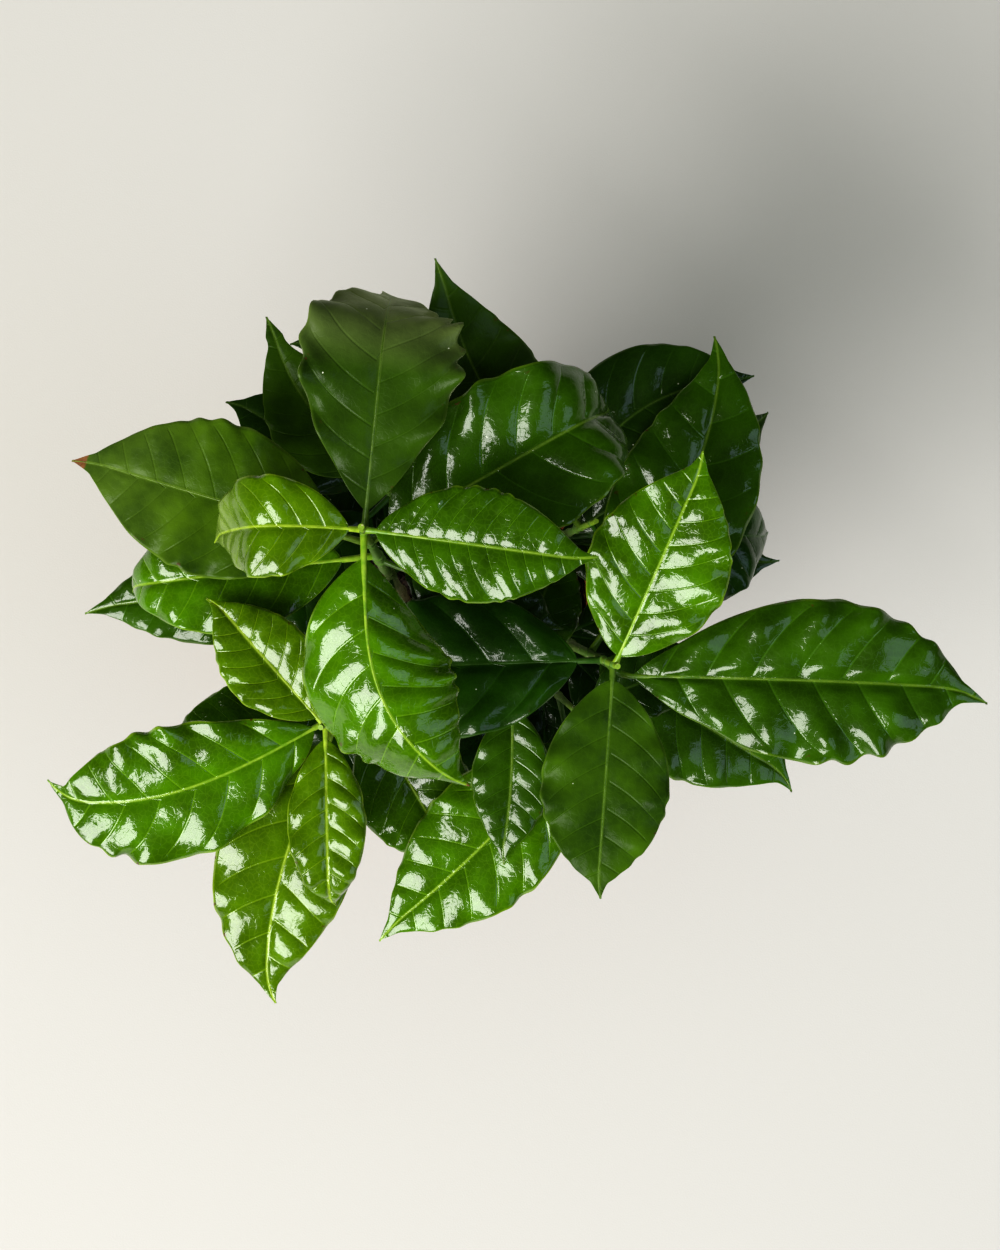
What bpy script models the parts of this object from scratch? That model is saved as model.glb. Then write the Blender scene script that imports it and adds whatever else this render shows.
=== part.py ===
"""A young coffee plant, several seedlings grown together in a plain terracotta pot.

Metres, +Z up, the origin at the centre of the pot's flat underside. +Y is away from the front.
The seedlings lean outwards from the middle of the pot. Their leaves stand in opposite pairs, each
pair turned about a quarter turn from the next, and every seedling's leaves are one solid.
"""

import math
from dataclasses import dataclass

import bmesh
import bpy
from mathutils import Vector

# Pot
POT_HEIGHT = 0.120
POT_FOOT_RADIUS = 0.045
POT_NECK_RADIUS = 0.0585
POT_RIM_RADIUS = 0.065
POT_RIM_DEPTH = 0.026
POT_WALL = 0.006
POT_FLOOR = 0.008
POT_EDGE = 0.0015
POT_SIDES = 64

# Soil
SOIL_TOP = 0.105
SOIL_GAP = 0.0003

# Stems
CUT_GAP = 0.0003
STEM_FOOT_RADIUS = 0.0034
STEM_TIP_RADIUS = 0.0011
ROOT_FLARE = 0.0022
ROOT_FLARE_HEIGHT = 0.007
STEM_SIDES = 8
BUD_HEIGHT = 0.005
BUD_RADIUS = 0.0014
BUD_POINT_RADIUS = 0.00035
BUD_SHOULDER = 0.4

# Leaves
LEAF_THICKNESS_SHARE = 0.011
LEAF_LEAST_THICKNESS = 0.0009
PETIOLE_RADIUS = 0.0011
PETIOLE_RISE = 12.0
PETIOLE_STEPS = 3
BLEND = 4
DRIP_TIP_WIDTH = 0.17
DRIP_TIP_START = 0.65
DRIP_TIP_GROWTH = 0.25
DRIP_TIP_POINT = 0.10
BLADE_END = 0.93
BLADE_SHARES = (0.0, 0.08, 0.20, 0.32, 0.44, 0.56, 0.68, 0.79, 0.89, 0.985)
BLADE_STEPS = 96
ACROSS = (-1.0, -0.5, 0.0, 0.5, 1.0)
MARGIN_TURN = 1.3
MARGIN_PHASE = 2.4


@dataclass
class Leaf:
    """One leaf's habit. Lengths are in millimetres and angles in degrees.

    azimuth turns from +X towards +Y, rise is the blade's slope where it starts, and droop is how
    far it has bent down at the tip. A high bend with a low crease puts the fold in one place, and
    swerve and turn_at do the same for the sideways sweep. fold lifts the two halves from the
    midrib and arch curves them down again, as shares of the half width. A high belly puts the
    widest place further from the stem, and a low roundness makes the blade's ends blunter.
    """

    height: float
    azimuth: float
    length: float
    width: float
    rise: float = 6.0
    droop: float = 22.0
    bend: float = 1.6
    crease: float = 3.0
    sweep: float = 0.0
    swerve: float = 2.0
    turn_at: float = 3.0
    roll: float = 0.0
    twist: float = 0.0
    fold: float = 0.30
    arch: float = 0.25
    wave: float = 0.07
    waves: float = 5.0
    belly: float = 0.95
    roundness: float = 0.75
    petiole: float = 12.0
    petiole_azimuth: float = None


@dataclass
class Seedling:
    """One stem, from its foot on the soil to its bud, and where its lowest leaves start."""

    name: str
    foot: tuple
    bud: tuple
    crown: float
    leaves: tuple
    curve: float = 1.3
    stoutness: float = 1.0


SEEDLINGS = (
    Seedling(
        "left_tall",
        foot=(-28, -4),
        bud=(-37, 25, 344),
        crown=158,
        curve=1.0,
        stoutness=1.1,
        leaves=(
            Leaf(338, -8, 83, 43, rise=8, droop=10, roll=6, fold=0.22, wave=0.06, petiole=5),
            Leaf(338, 177, 72, 38, rise=10, droop=72, bend=9, crease=0.46, sweep=22, petiole=5),
            Leaf(
                331, 84, 108, 60, rise=9, droop=84, bend=9, crease=0.64, roll=7, fold=0.12,
                arch=0.10, wave=0.10, petiole=8, belly=1.30, roundness=0.65,
            ),
            Leaf(
                332, -89, 105, 55, rise=4, droop=46, bend=2, sweep=56, swerve=3, turn_at=0.66,
                roll=-20, twist=50, fold=-0.28, petiole=10, belly=1.05, roundness=0.65,
            ),
            Leaf(
                302, 164, 107, 60, rise=4, droop=20, sweep=-2, fold=0.12, arch=0.10, petiole=14,
            ),
            Leaf(
                308, 29, 122, 63, rise=8, droop=86, bend=12, crease=0.68, arch=0.12, petiole=10,
                roundness=0.65,
            ),
            Leaf(230, 187, 114, 44, rise=0, droop=16, petiole=14),
            Leaf(273, 187, 98, 48, rise=2, droop=85, bend=9, crease=0.84, petiole=14),
            Leaf(262, -22, 66, 40, rise=0, droop=24, petiole=14),
            Leaf(214, 128, 66, 34, rise=2, droop=40),
            Leaf(222, -70, 50, 28, rise=0, droop=40),
            Leaf(165, 100, 50, 28, rise=0, droop=40, petiole=8),
        ),
    ),
    Seedling(
        "front_left",
        foot=(-22, -22),
        bud=(-56, -51, 284),
        crown=165,
        leaves=(
            Leaf(280, 131, 64, 36, rise=12, droop=24, petiole=4, fold=0.34),
            Leaf(278, -89, 74, 31, rise=2, droop=72, bend=7, crease=0.85, petiole=6),
            Leaf(
                270, 209, 114, 55, droop=20, sweep=-45, roll=-14, petiole=8, belly=1.30,
                roundness=0.55,
            ),
            Leaf(258, -112, 112, 55, rise=2, droop=25, sweep=26, petiole=14),
            Leaf(240, 194, 72, 37, rise=2, droop=20),
            Leaf(232, -60, 76, 48, rise=-4, droop=18, petiole=10),
            Leaf(212, 150, 52, 30, rise=0, droop=30),
            Leaf(194, -120, 66, 34, rise=0, droop=40),
            Leaf(188, 50, 44, 26, rise=0, droop=40),
        ),
    ),
    Seedling(
        "right",
        foot=(24, -10),
        bud=(59.5, -27, 294),
        crown=158,
        stoutness=1.05,
        leaves=(
            Leaf(290, 67, 87, 55, rise=20, droop=14, petiole=4),
            Leaf(
                288, -94, 86, 50, rise=4, droop=16, fold=0.10, arch=0.10, petiole=6, belly=1.05,
                roundness=0.65,
            ),
            Leaf(
                280, -1, 140, 64, rise=8, droop=20, sweep=-4, wave=0.10, waves=6.5,
                petiole_azimuth=-60, belly=1.20, roundness=0.70,
            ),
            Leaf(274, 182, 104, 58, rise=-2, droop=16, roll=7, petiole=10),
            Leaf(254, 57, 124, 56, rise=8, droop=14, sweep=36, petiole=16),
            Leaf(224, -31, 98, 52, rise=0, droop=18, petiole=14),
            Leaf(218, 152, 70, 40, rise=0, droop=20, petiole=14),
            Leaf(190, 20, 70, 36, rise=0, droop=40),
            Leaf(186, -45, 62, 34, rise=0, droop=40),
            Leaf(166, -8, 58, 34, rise=0, droop=40, petiole=5),
        ),
    ),
    Seedling(
        "back_left",
        foot=(-12, 24),
        bud=(-34, 46, 262),
        crown=175,
        stoutness=0.9,
        leaves=(
            Leaf(
                258, 136, 76, 40, rise=18, droop=16, sweep=-40, petiole=6, belly=0.80,
                roundness=1.15,
            ),
            Leaf(244, -40, 52, 28, rise=6, droop=20, petiole=8),
            Leaf(246, 150, 65, 40, rise=16, droop=14, petiole=10),
            Leaf(240, 224, 88, 44, rise=2, droop=18),
            Leaf(232, 102, 74, 38, rise=12, droop=18, sweep=72, petiole=10),
            Leaf(222, 72, 66, 44, rise=4, droop=30),
            Leaf(192, 130, 64, 34, rise=0, droop=40),
            Leaf(192, 196, 54, 26, rise=0, droop=40),
        ),
    ),
    Seedling(
        "back_right",
        foot=(16, 18),
        bud=(52, 30, 272),
        crown=170,
        stoutness=0.95,
        leaves=(
            Leaf(253, 130, 124, 50, rise=34, droop=10, sweep=-33, roll=10, petiole=10),
            Leaf(266, -60, 56, 30, rise=16, droop=20, petiole=6),
            Leaf(236, 30, 96, 46, rise=8, droop=50, bend=6, crease=0.8, petiole=4),
            Leaf(246, 84, 94, 50, rise=8, droop=20, sweep=-86, swerve=0.9),
            Leaf(226, 0, 88, 62, rise=4, droop=75, bend=7, crease=0.72),
            Leaf(208, -6, 95, 42, rise=0, droop=14, petiole=3, belly=0.85, roundness=0.60),
            Leaf(190, 96, 68, 36, rise=0, droop=40),
            Leaf(196, 150, 50, 28, rise=0, droop=30),
        ),
    ),
    Seedling(
        "front_right",
        foot=(22, -26),
        bud=(46, -47, 254),
        crown=162,
        stoutness=0.9,
        leaves=(
            Leaf(
                246, -126, 114, 54, rise=-2, droop=12, sweep=-16, swerve=1, petiole=14,
                petiole_azimuth=-70,
            ),
            Leaf(244, 22, 54, 30, rise=4, droop=20, petiole=8),
            Leaf(216, -78, 68, 40, rise=-6, droop=20),
            Leaf(182, -88, 68, 40, rise=0, droop=40, petiole=4, roundness=0.60),
            Leaf(170, -40, 52, 32, rise=0, droop=40, petiole=4),
        ),
    ),
    Seedling(
        "middle",
        foot=(4, -20),
        bud=(20, -37, 262),
        crown=180,
        stoutness=0.85,
        leaves=(
            Leaf(254, -90, 64, 32, rise=0, droop=10, sweep=-14, petiole=8),
            Leaf(250, 70, 56, 34, rise=-4, droop=10, petiole=8),
            Leaf(244, 196, 40, 26, rise=0, droop=12),
            Leaf(200, -96, 72, 36, rise=-4, droop=36),
        ),
    ),
)

# Plain colours, one to a material
TERRACOTTA = (0.48, 0.19, 0.10)
SOIL = (0.045, 0.028, 0.018)
BARK = (0.22, 0.19, 0.12)
LEAF_GREENS = (
    (0.055, 0.19, 0.018),
    (0.070, 0.23, 0.022),
    (0.045, 0.16, 0.020),
    (0.026, 0.10, 0.018),
    (0.024, 0.09, 0.020),
    (0.040, 0.15, 0.020),
    (0.034, 0.12, 0.020),
)


def clear_scene():
    for thing in list(bpy.data.objects):
        bpy.data.objects.remove(thing, do_unlink=True)


def painted(name, colour, roughness):
    material = bpy.data.materials.new(name)
    material.use_nodes = True
    shader = material.node_tree.nodes["Principled BSDF"]
    shader.inputs["Base Color"].default_value = (*colour, 1.0)
    shader.inputs["Roughness"].default_value = roughness
    return material


def mesh_object(name, points, faces, material, collection):
    mesh = bpy.data.meshes.new(name)
    mesh.from_pydata(points, [], faces)
    mesh.validate()
    work = bmesh.new()
    work.from_mesh(mesh)
    bmesh.ops.recalc_face_normals(work, faces=work.faces)
    work.to_mesh(mesh)
    work.free()
    mesh.materials.append(material)
    thing = bpy.data.objects.new(name, mesh)
    collection.objects.link(thing)
    return thing


def tube(rings):
    """Points and triangles of a closed tube through rings that have the same number of points.

    The second half of each ring is split along the other diagonal, so that the two sides of a
    blade fold along the same lines.
    """
    count = len(rings[0])
    points = [point for ring in rings for point in ring]
    faces = [tuple(reversed(range(count)))]
    for step in range(len(rings) - 1):
        first, second = step * count, (step + 1) * count
        for k in range(count):
            after = (k + 1) % count
            if k < count // 2:
                faces.append((first + k, first + after, second + after))
                faces.append((first + k, second + after, second + k))
            else:
                faces.append((first + k, first + after, second + k))
                faces.append((first + after, second + after, second + k))
    last = (len(rings) - 1) * count
    faces.append(tuple(range(last, last + count)))
    return points, faces


def turned(profile, sides):
    """A profile of (radius, height) turned about Z. It starts and ends on the axis."""
    points = [Vector((0, 0, profile[0][1])), Vector((0, 0, profile[-1][1]))]
    rings = profile[1:-1]
    for radius, height in rings:
        for k in range(sides):
            angle = 2 * math.pi * k / sides
            points.append(Vector((radius * math.cos(angle), radius * math.sin(angle), height)))
    faces = []
    last = 2 + (len(rings) - 1) * sides
    for k in range(sides):
        after = (k + 1) % sides
        faces.append((0, 2 + k, 2 + after))
        faces.append((1, last + after, last + k))
        for step in range(len(rings) - 1):
            first, second = 2 + step * sides, 2 + (step + 1) * sides
            faces.append((first + k, second + k, second + after, first + after))
    return points, faces


def shade_round(thing, keep_sharp):
    """Smooth shading, with the edges that turn by more than keep_sharp degrees left sharp."""
    for face in thing.data.polygons:
        face.use_smooth = True
    work = bmesh.new()
    work.from_mesh(thing.data)
    for edge in work.edges:
        edge.smooth = edge.calc_face_angle(math.pi) < math.radians(keep_sharp)
    work.to_mesh(thing.data)
    work.free()


def pot_inner_radius(height):
    """The inside of the pot tapers as its outside does below the rim."""
    neck = POT_HEIGHT - POT_RIM_DEPTH
    share = height / neck
    return POT_FOOT_RADIUS + (POT_NECK_RADIUS - POT_FOOT_RADIUS) * share - POT_WALL


def make_pot(collection):
    neck = POT_HEIGHT - POT_RIM_DEPTH
    mouth = pot_inner_radius(POT_HEIGHT)
    edge = POT_EDGE
    profile = (
        (0, 0),
        (POT_FOOT_RADIUS - edge, 0),
        (POT_FOOT_RADIUS, edge),
        (POT_NECK_RADIUS, neck),
        (POT_RIM_RADIUS - edge, neck),
        (POT_RIM_RADIUS, neck + edge),
        (POT_RIM_RADIUS, POT_HEIGHT - edge),
        (POT_RIM_RADIUS - edge, POT_HEIGHT),
        (mouth + edge, POT_HEIGHT),
        (mouth, POT_HEIGHT - edge),
        (pot_inner_radius(POT_FLOOR), POT_FLOOR),
        (0, POT_FLOOR),
    )
    points, faces = turned(profile, POT_SIDES)
    pot = mesh_object("pot", points, faces, painted("terracotta", TERRACOTTA, 0.8), collection)
    shade_round(pot, 30)


def make_soil(collection):
    low = POT_FLOOR + SOIL_GAP
    profile = (
        (0, low),
        (pot_inner_radius(low) - SOIL_GAP, low),
        (pot_inner_radius(SOIL_TOP) - SOIL_GAP, SOIL_TOP),
        (0, SOIL_TOP),
    )
    points, faces = turned(profile, POT_SIDES)
    soil = mesh_object("soil", points, faces, painted("potting_soil", SOIL, 0.95), collection)
    shade_round(soil, 30)


def stem_point(seedling, height):
    """The stem's centre at a height, in metres."""
    foot, bud = seedling.foot, seedling.bud
    share = max(0.0, (height - SOIL_TOP) / (bud[2] / 1000 - SOIL_TOP))
    out = share ** seedling.curve
    x = foot[0] + (bud[0] - foot[0]) * out
    y = foot[1] + (bud[1] - foot[1]) * out
    return Vector((x / 1000, y / 1000, height))


def stem_radius(seedling, height):
    top = seedling.bud[2] / 1000
    share = (height - SOIL_TOP) / (top - SOIL_TOP)
    plain = STEM_FOOT_RADIUS + (STEM_TIP_RADIUS - STEM_FOOT_RADIUS) * share
    flare = ROOT_FLARE * math.exp(-(height - SOIL_TOP) / ROOT_FLARE_HEIGHT)
    return plain * seedling.stoutness + flare


def stem_rings(seedling, heights):
    """Level rings, so that the foot is cut flat on the soil and two lengths meet face to face."""
    rings = []
    for height in heights:
        centre, radius = stem_point(seedling, height), stem_radius(seedling, height)
        ring = []
        for k in range(STEM_SIDES):
            angle = 2 * math.pi * k / STEM_SIDES
            ring.append(centre + Vector((radius * math.cos(angle), radius * math.sin(angle), 0)))
        rings.append(ring)
    return rings


def between(low, high, count):
    return [low + (high - low) * k / (count - 1) for k in range(count)]


def outline(leaf, share):
    """Half the blade's width at a share of its length, as a share of the greatest: long and oval
    with a narrow drip tip."""
    along = share / BLADE_END
    body = math.sin(math.pi * along**leaf.belly) ** leaf.roundness if along < 1 else 0.0
    start = min(max((share - DRIP_TIP_START) / DRIP_TIP_GROWTH, 0.0), 1.0)
    start = start * start * (3 - 2 * start)
    tip = DRIP_TIP_WIDTH * min((1 - share) / DRIP_TIP_POINT, 1.0) * start
    return (body**BLEND + tip**BLEND) ** (1 / BLEND)


def bent(share, bend, crease):
    """How much of a turn is done at a share of the length. Half of it lies near a low crease."""
    return share**bend * (1 + crease**bend) / (share**bend + crease**bend)


def direction(azimuth, slope):
    return Vector((
        math.cos(slope) * math.cos(azimuth),
        math.cos(slope) * math.sin(azimuth),
        math.sin(slope),
    ))


def square_to(azimuth, slope, roll):
    """The blade's sideways and upward directions."""
    along = direction(azimuth, slope)
    side = Vector((-math.sin(azimuth), math.cos(azimuth), 0))
    up = along.cross(side)
    return (
        side * math.cos(roll) + up * math.sin(roll),
        up * math.cos(roll) - side * math.sin(roll),
    )


def petiole_rings(leaf, start):
    """Rings of the petiole, from inside the stem, and the point where the blade starts."""
    rise, azimuth = math.radians(leaf.rise), math.radians(leaf.azimuth)
    first_rise = rise + math.radians(PETIOLE_RISE)
    first = azimuth if leaf.petiole_azimuth is None else math.radians(leaf.petiole_azimuth)
    length, point, rings = leaf.petiole / 1000, start.copy(), []
    for step in range(PETIOLE_STEPS):
        share = (step + 0.5) / PETIOLE_STEPS
        turn = first + (azimuth - first) * share
        slope = first_rise + (rise - first_rise) * share
        if step < PETIOLE_STEPS - 1:
            side, up = square_to(turn, slope, math.radians(leaf.roll) * share)
            rings.append(petiole_ring(point, side, up))
        point += direction(turn, slope) * length / PETIOLE_STEPS
    return rings, point


def petiole_ring(centre, side, up):
    """As many points as a ring of the blade has, its first half on top."""
    ring = []
    count = 2 * len(ACROSS)
    for k in range(count):
        angle = math.pi - 2 * math.pi * (k + 0.5) / count
        ring.append(centre + (side * math.cos(angle) + up * math.sin(angle)) * PETIOLE_RADIUS)
    return ring


def blade_rings(leaf, start, phase):
    length, width = leaf.length / 1000, leaf.width / 1000
    thick = max(length * LEAF_THICKNESS_SHARE, LEAF_LEAST_THICKNESS)
    rise, azimuth = math.radians(leaf.rise), math.radians(leaf.azimuth)
    point, rings = start.copy(), []
    stops = [round(share * BLADE_STEPS) for share in BLADE_SHARES]
    for step in range(BLADE_STEPS + 1):
        share = step / BLADE_STEPS
        slope = rise - math.radians(leaf.droop) * bent(share, leaf.bend, leaf.crease)
        turn = azimuth + math.radians(leaf.sweep) * bent(share, leaf.swerve, leaf.turn_at)
        if step in stops:
            side, up = square_to(turn, slope, math.radians(leaf.roll + leaf.twist * share))
            half = max(width / 2 * outline(leaf, share), PETIOLE_RADIUS)
            top = []
            for t in ACROSS:
                beat = 2 * math.pi * leaf.waves * share + phase + (MARGIN_TURN if t > 0 else 0)
                lift = leaf.fold * abs(t)
                lift += (leaf.wave * math.sin(beat) - leaf.arch) * t * t
                top.append(point + side * half * t + up * half * lift)
            rings.append(
                [p + up * thick / 2 for p in top] + [p - up * thick / 2 for p in reversed(top)]
            )
        point += direction(turn, slope) * length / BLADE_STEPS
    return rings


def make_leaf(seedling, order, material, collection):
    leaf = seedling.leaves[order]
    start = stem_point(seedling, leaf.height / 1000)
    stalk, blade_start = petiole_rings(leaf, start)
    rings = stalk + blade_rings(leaf, blade_start, MARGIN_PHASE * order)
    points, faces = tube(rings)
    return mesh_object("leaf", points, faces, material, collection)


def make_limb(seedling, material, collection):
    low, high = SOIL_TOP + CUT_GAP, seedling.crown / 1000 - CUT_GAP
    heights = [low, low + 0.003, low + 0.008, low + 0.016]
    heights += between(low + 0.028, high, 5)
    points, faces = tube(stem_rings(seedling, heights))
    limb = mesh_object("stem_" + seedling.name, points, faces, material, collection)
    shade_round(limb, 50)


def make_foliage(seedling, green, collection):
    """The stem's upper part, its bud and all its leaves, joined in one solid."""
    top = seedling.bud[2] / 1000
    rings = stem_rings(seedling, between(seedling.crown / 1000, top, 9))
    centre = stem_point(seedling, top)
    for lift, radius in ((BUD_SHOULDER, BUD_RADIUS), (1.0, BUD_POINT_RADIUS)):
        ring = []
        for k in range(STEM_SIDES):
            angle = 2 * math.pi * k / STEM_SIDES
            reach = Vector((math.cos(angle), math.sin(angle), 0)) * radius
            ring.append(centre + reach + Vector((0, 0, BUD_HEIGHT * lift)))
        rings.append(ring)
    points, faces = tube(rings)
    crown = mesh_object("foliage_" + seedling.name, points, faces, green, collection)
    spare = bpy.data.collections.new("leaves_" + seedling.name)
    bpy.context.scene.collection.children.link(spare)
    for order in range(len(seedling.leaves)):
        make_leaf(seedling, order, green, spare)
    join = crown.modifiers.new("join", "BOOLEAN")
    join.operation = "UNION"
    join.operand_type = "COLLECTION"
    join.collection = spare
    join.solver = "EXACT"
    join.use_self = True
    bpy.context.view_layer.update()
    graph = bpy.context.evaluated_depsgraph_get()
    joined = bpy.data.meshes.new_from_object(crown.evaluated_get(graph))
    crown.modifiers.clear()
    crown.data = joined
    for thing in list(spare.objects):
        bpy.data.objects.remove(thing, do_unlink=True)
    bpy.data.collections.remove(spare)
    shade_round(crown, 40)


def main():
    clear_scene()
    scene = bpy.context.scene
    scene.unit_settings.system = "METRIC"
    scene.unit_settings.scale_length = 1.0
    plant = bpy.data.collections.new("coffee_plant")
    scene.collection.children.link(plant)
    make_pot(plant)
    make_soil(plant)
    for seedling, colour in zip(SEEDLINGS, LEAF_GREENS):
        bark = painted("bark_" + seedling.name, BARK, 0.85)
        green = painted("leaves_" + seedling.name, colour, 0.35)
        make_limb(seedling, bark, plant)
        make_foliage(seedling, green, plant)


main()
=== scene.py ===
"""A young coffee plant of seven seedlings in one clay pot, dressed as it looks from above in
window light. The CAD solids give the places, and this file grows the leaves, stems, compost and
pot again with their finish.

It is laid out as an add-on: settings, one operator for each piece or group of like pieces, and a
panel that lists them. Run as a script it makes everything in order.
"""

import math
from dataclasses import dataclass
from functools import cache, partial

import bmesh
import bpy
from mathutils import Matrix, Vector, noise


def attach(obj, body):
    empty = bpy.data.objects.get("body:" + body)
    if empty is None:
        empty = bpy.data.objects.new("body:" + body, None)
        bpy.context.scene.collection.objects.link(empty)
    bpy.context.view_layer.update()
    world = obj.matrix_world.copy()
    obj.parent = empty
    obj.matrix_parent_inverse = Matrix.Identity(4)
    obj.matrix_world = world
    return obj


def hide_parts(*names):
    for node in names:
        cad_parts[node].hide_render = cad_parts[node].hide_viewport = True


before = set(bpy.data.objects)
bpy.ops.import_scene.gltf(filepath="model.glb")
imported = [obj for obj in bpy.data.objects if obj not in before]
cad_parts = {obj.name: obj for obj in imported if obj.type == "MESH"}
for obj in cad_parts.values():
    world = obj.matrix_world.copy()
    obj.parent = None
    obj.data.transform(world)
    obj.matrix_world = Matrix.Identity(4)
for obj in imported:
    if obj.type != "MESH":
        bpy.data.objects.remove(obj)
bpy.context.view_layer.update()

bl_info = {
    "name": "Potted coffee plant",
    "version": (1, 0, 0),
    "blender": (4, 5, 0),
    "location": "3D View > Sidebar > Coffee plant",
    "description": "Grows glossy coffee leaves, stems, compost and a clay pot on their CAD frame",
    "category": "Add Mesh",
}

# Sizes that the CAD solids share, in metres
POT_HEIGHT = 0.120
POT_FOOT_RADIUS = 0.045
POT_NECK_RADIUS = 0.0585
POT_RIM_RADIUS = 0.065
POT_RIM_DEPTH = 0.026
POT_NECK = POT_HEIGHT - POT_RIM_DEPTH
POT_WALL = 0.006
POT_FLOOR = 0.008
SOIL_TOP = 0.105
SOIL_GAP = 0.0003
STEM_FOOT_RADIUS = 0.0034
STEM_TIP_RADIUS = 0.0011
ROOT_FLARE = 0.0022
ROOT_FLARE_HEIGHT = 0.007
PETIOLE_RISE = math.radians(12)
DRIP_TIP_WIDTH = 0.17
DRIP_TIP_START = 0.65
BLADE_END = 0.93
MARGIN_TURN = 1.3
PHASE_STEP = 2.4
# Between the side veins right and left of the midrib, as a share of a panel, and where along the
# blade the tip begins to turn aside
VEIN_SHIFT = 0.38
HOOK_START = 0.84

# How finely the leaves and the pot are drawn, and the pitch of the pot's throwing grooves
ROW_SPACING = 0.0011
COLUMN_SPACING = 0.0016
STALK_STEPS = 9
PROFILE_STEP = 0.0013
ARC_STEPS = 5
GROOVE_PITCH = 0.0024


@dataclass
class Leaf:
    """One leaf by the measures of the CAD frame, in millimetres and degrees, with its finish.

    belly puts the widest place nearer the tip and roundness blunts the ends when low. tone is the
    age of the leaf, except that 'shaded' is painted shade: a darker green for leaves that lie in
    the shade of others. pairs is its number of side veins, and quilt is how far the panels between
    them bulge, as a share of a panel's width, and flatness how flat their tops are. slant is how
    far a side vein runs on towards the tip, hook how far the tip turns aside, dry the share of the
    length that is dried brown, and the last field how much of the outer half a pale olive film
    covers, which stands partly for a dusty bloom and partly for a painted sheen where the blade
    bends away.
    """

    height: float
    azimuth: float
    length: float
    width: float
    tone: str
    rise: float = 6.0
    droop: float = 22.0
    bend: float = 1.6
    crease: float = 3.0
    sweep: float = 0.0
    swerve: float = 2.0
    turn_at: float = 3.0
    roll: float = 0.0
    twist: float = 0.0
    fold: float = 0.30
    wave: float = 0.07
    waves: float = 5.0
    petiole: float = 12.0
    petiole_azimuth: float = None
    arch: float = 0.25
    belly: float = 0.95
    roundness: float = 0.75
    quilt: float = 0.07
    flatness: float = 2.0
    scallop: float = 0.025
    pairs: float = 8.0
    slant: float = 0.5
    hook: float = 2.0
    dry: float = 0.0
    dust: float = 0.0


@dataclass
class Seedling:
    """One stem, from its foot on the compost to its bud."""

    name: str
    foot: tuple
    bud: tuple
    leaves: tuple
    curve: float = 1.3
    stoutness: float = 1.0


# A low leaf in the shade, which hangs
low_leaf = partial(Leaf, tone="old", rise=0, droop=40)

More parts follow.
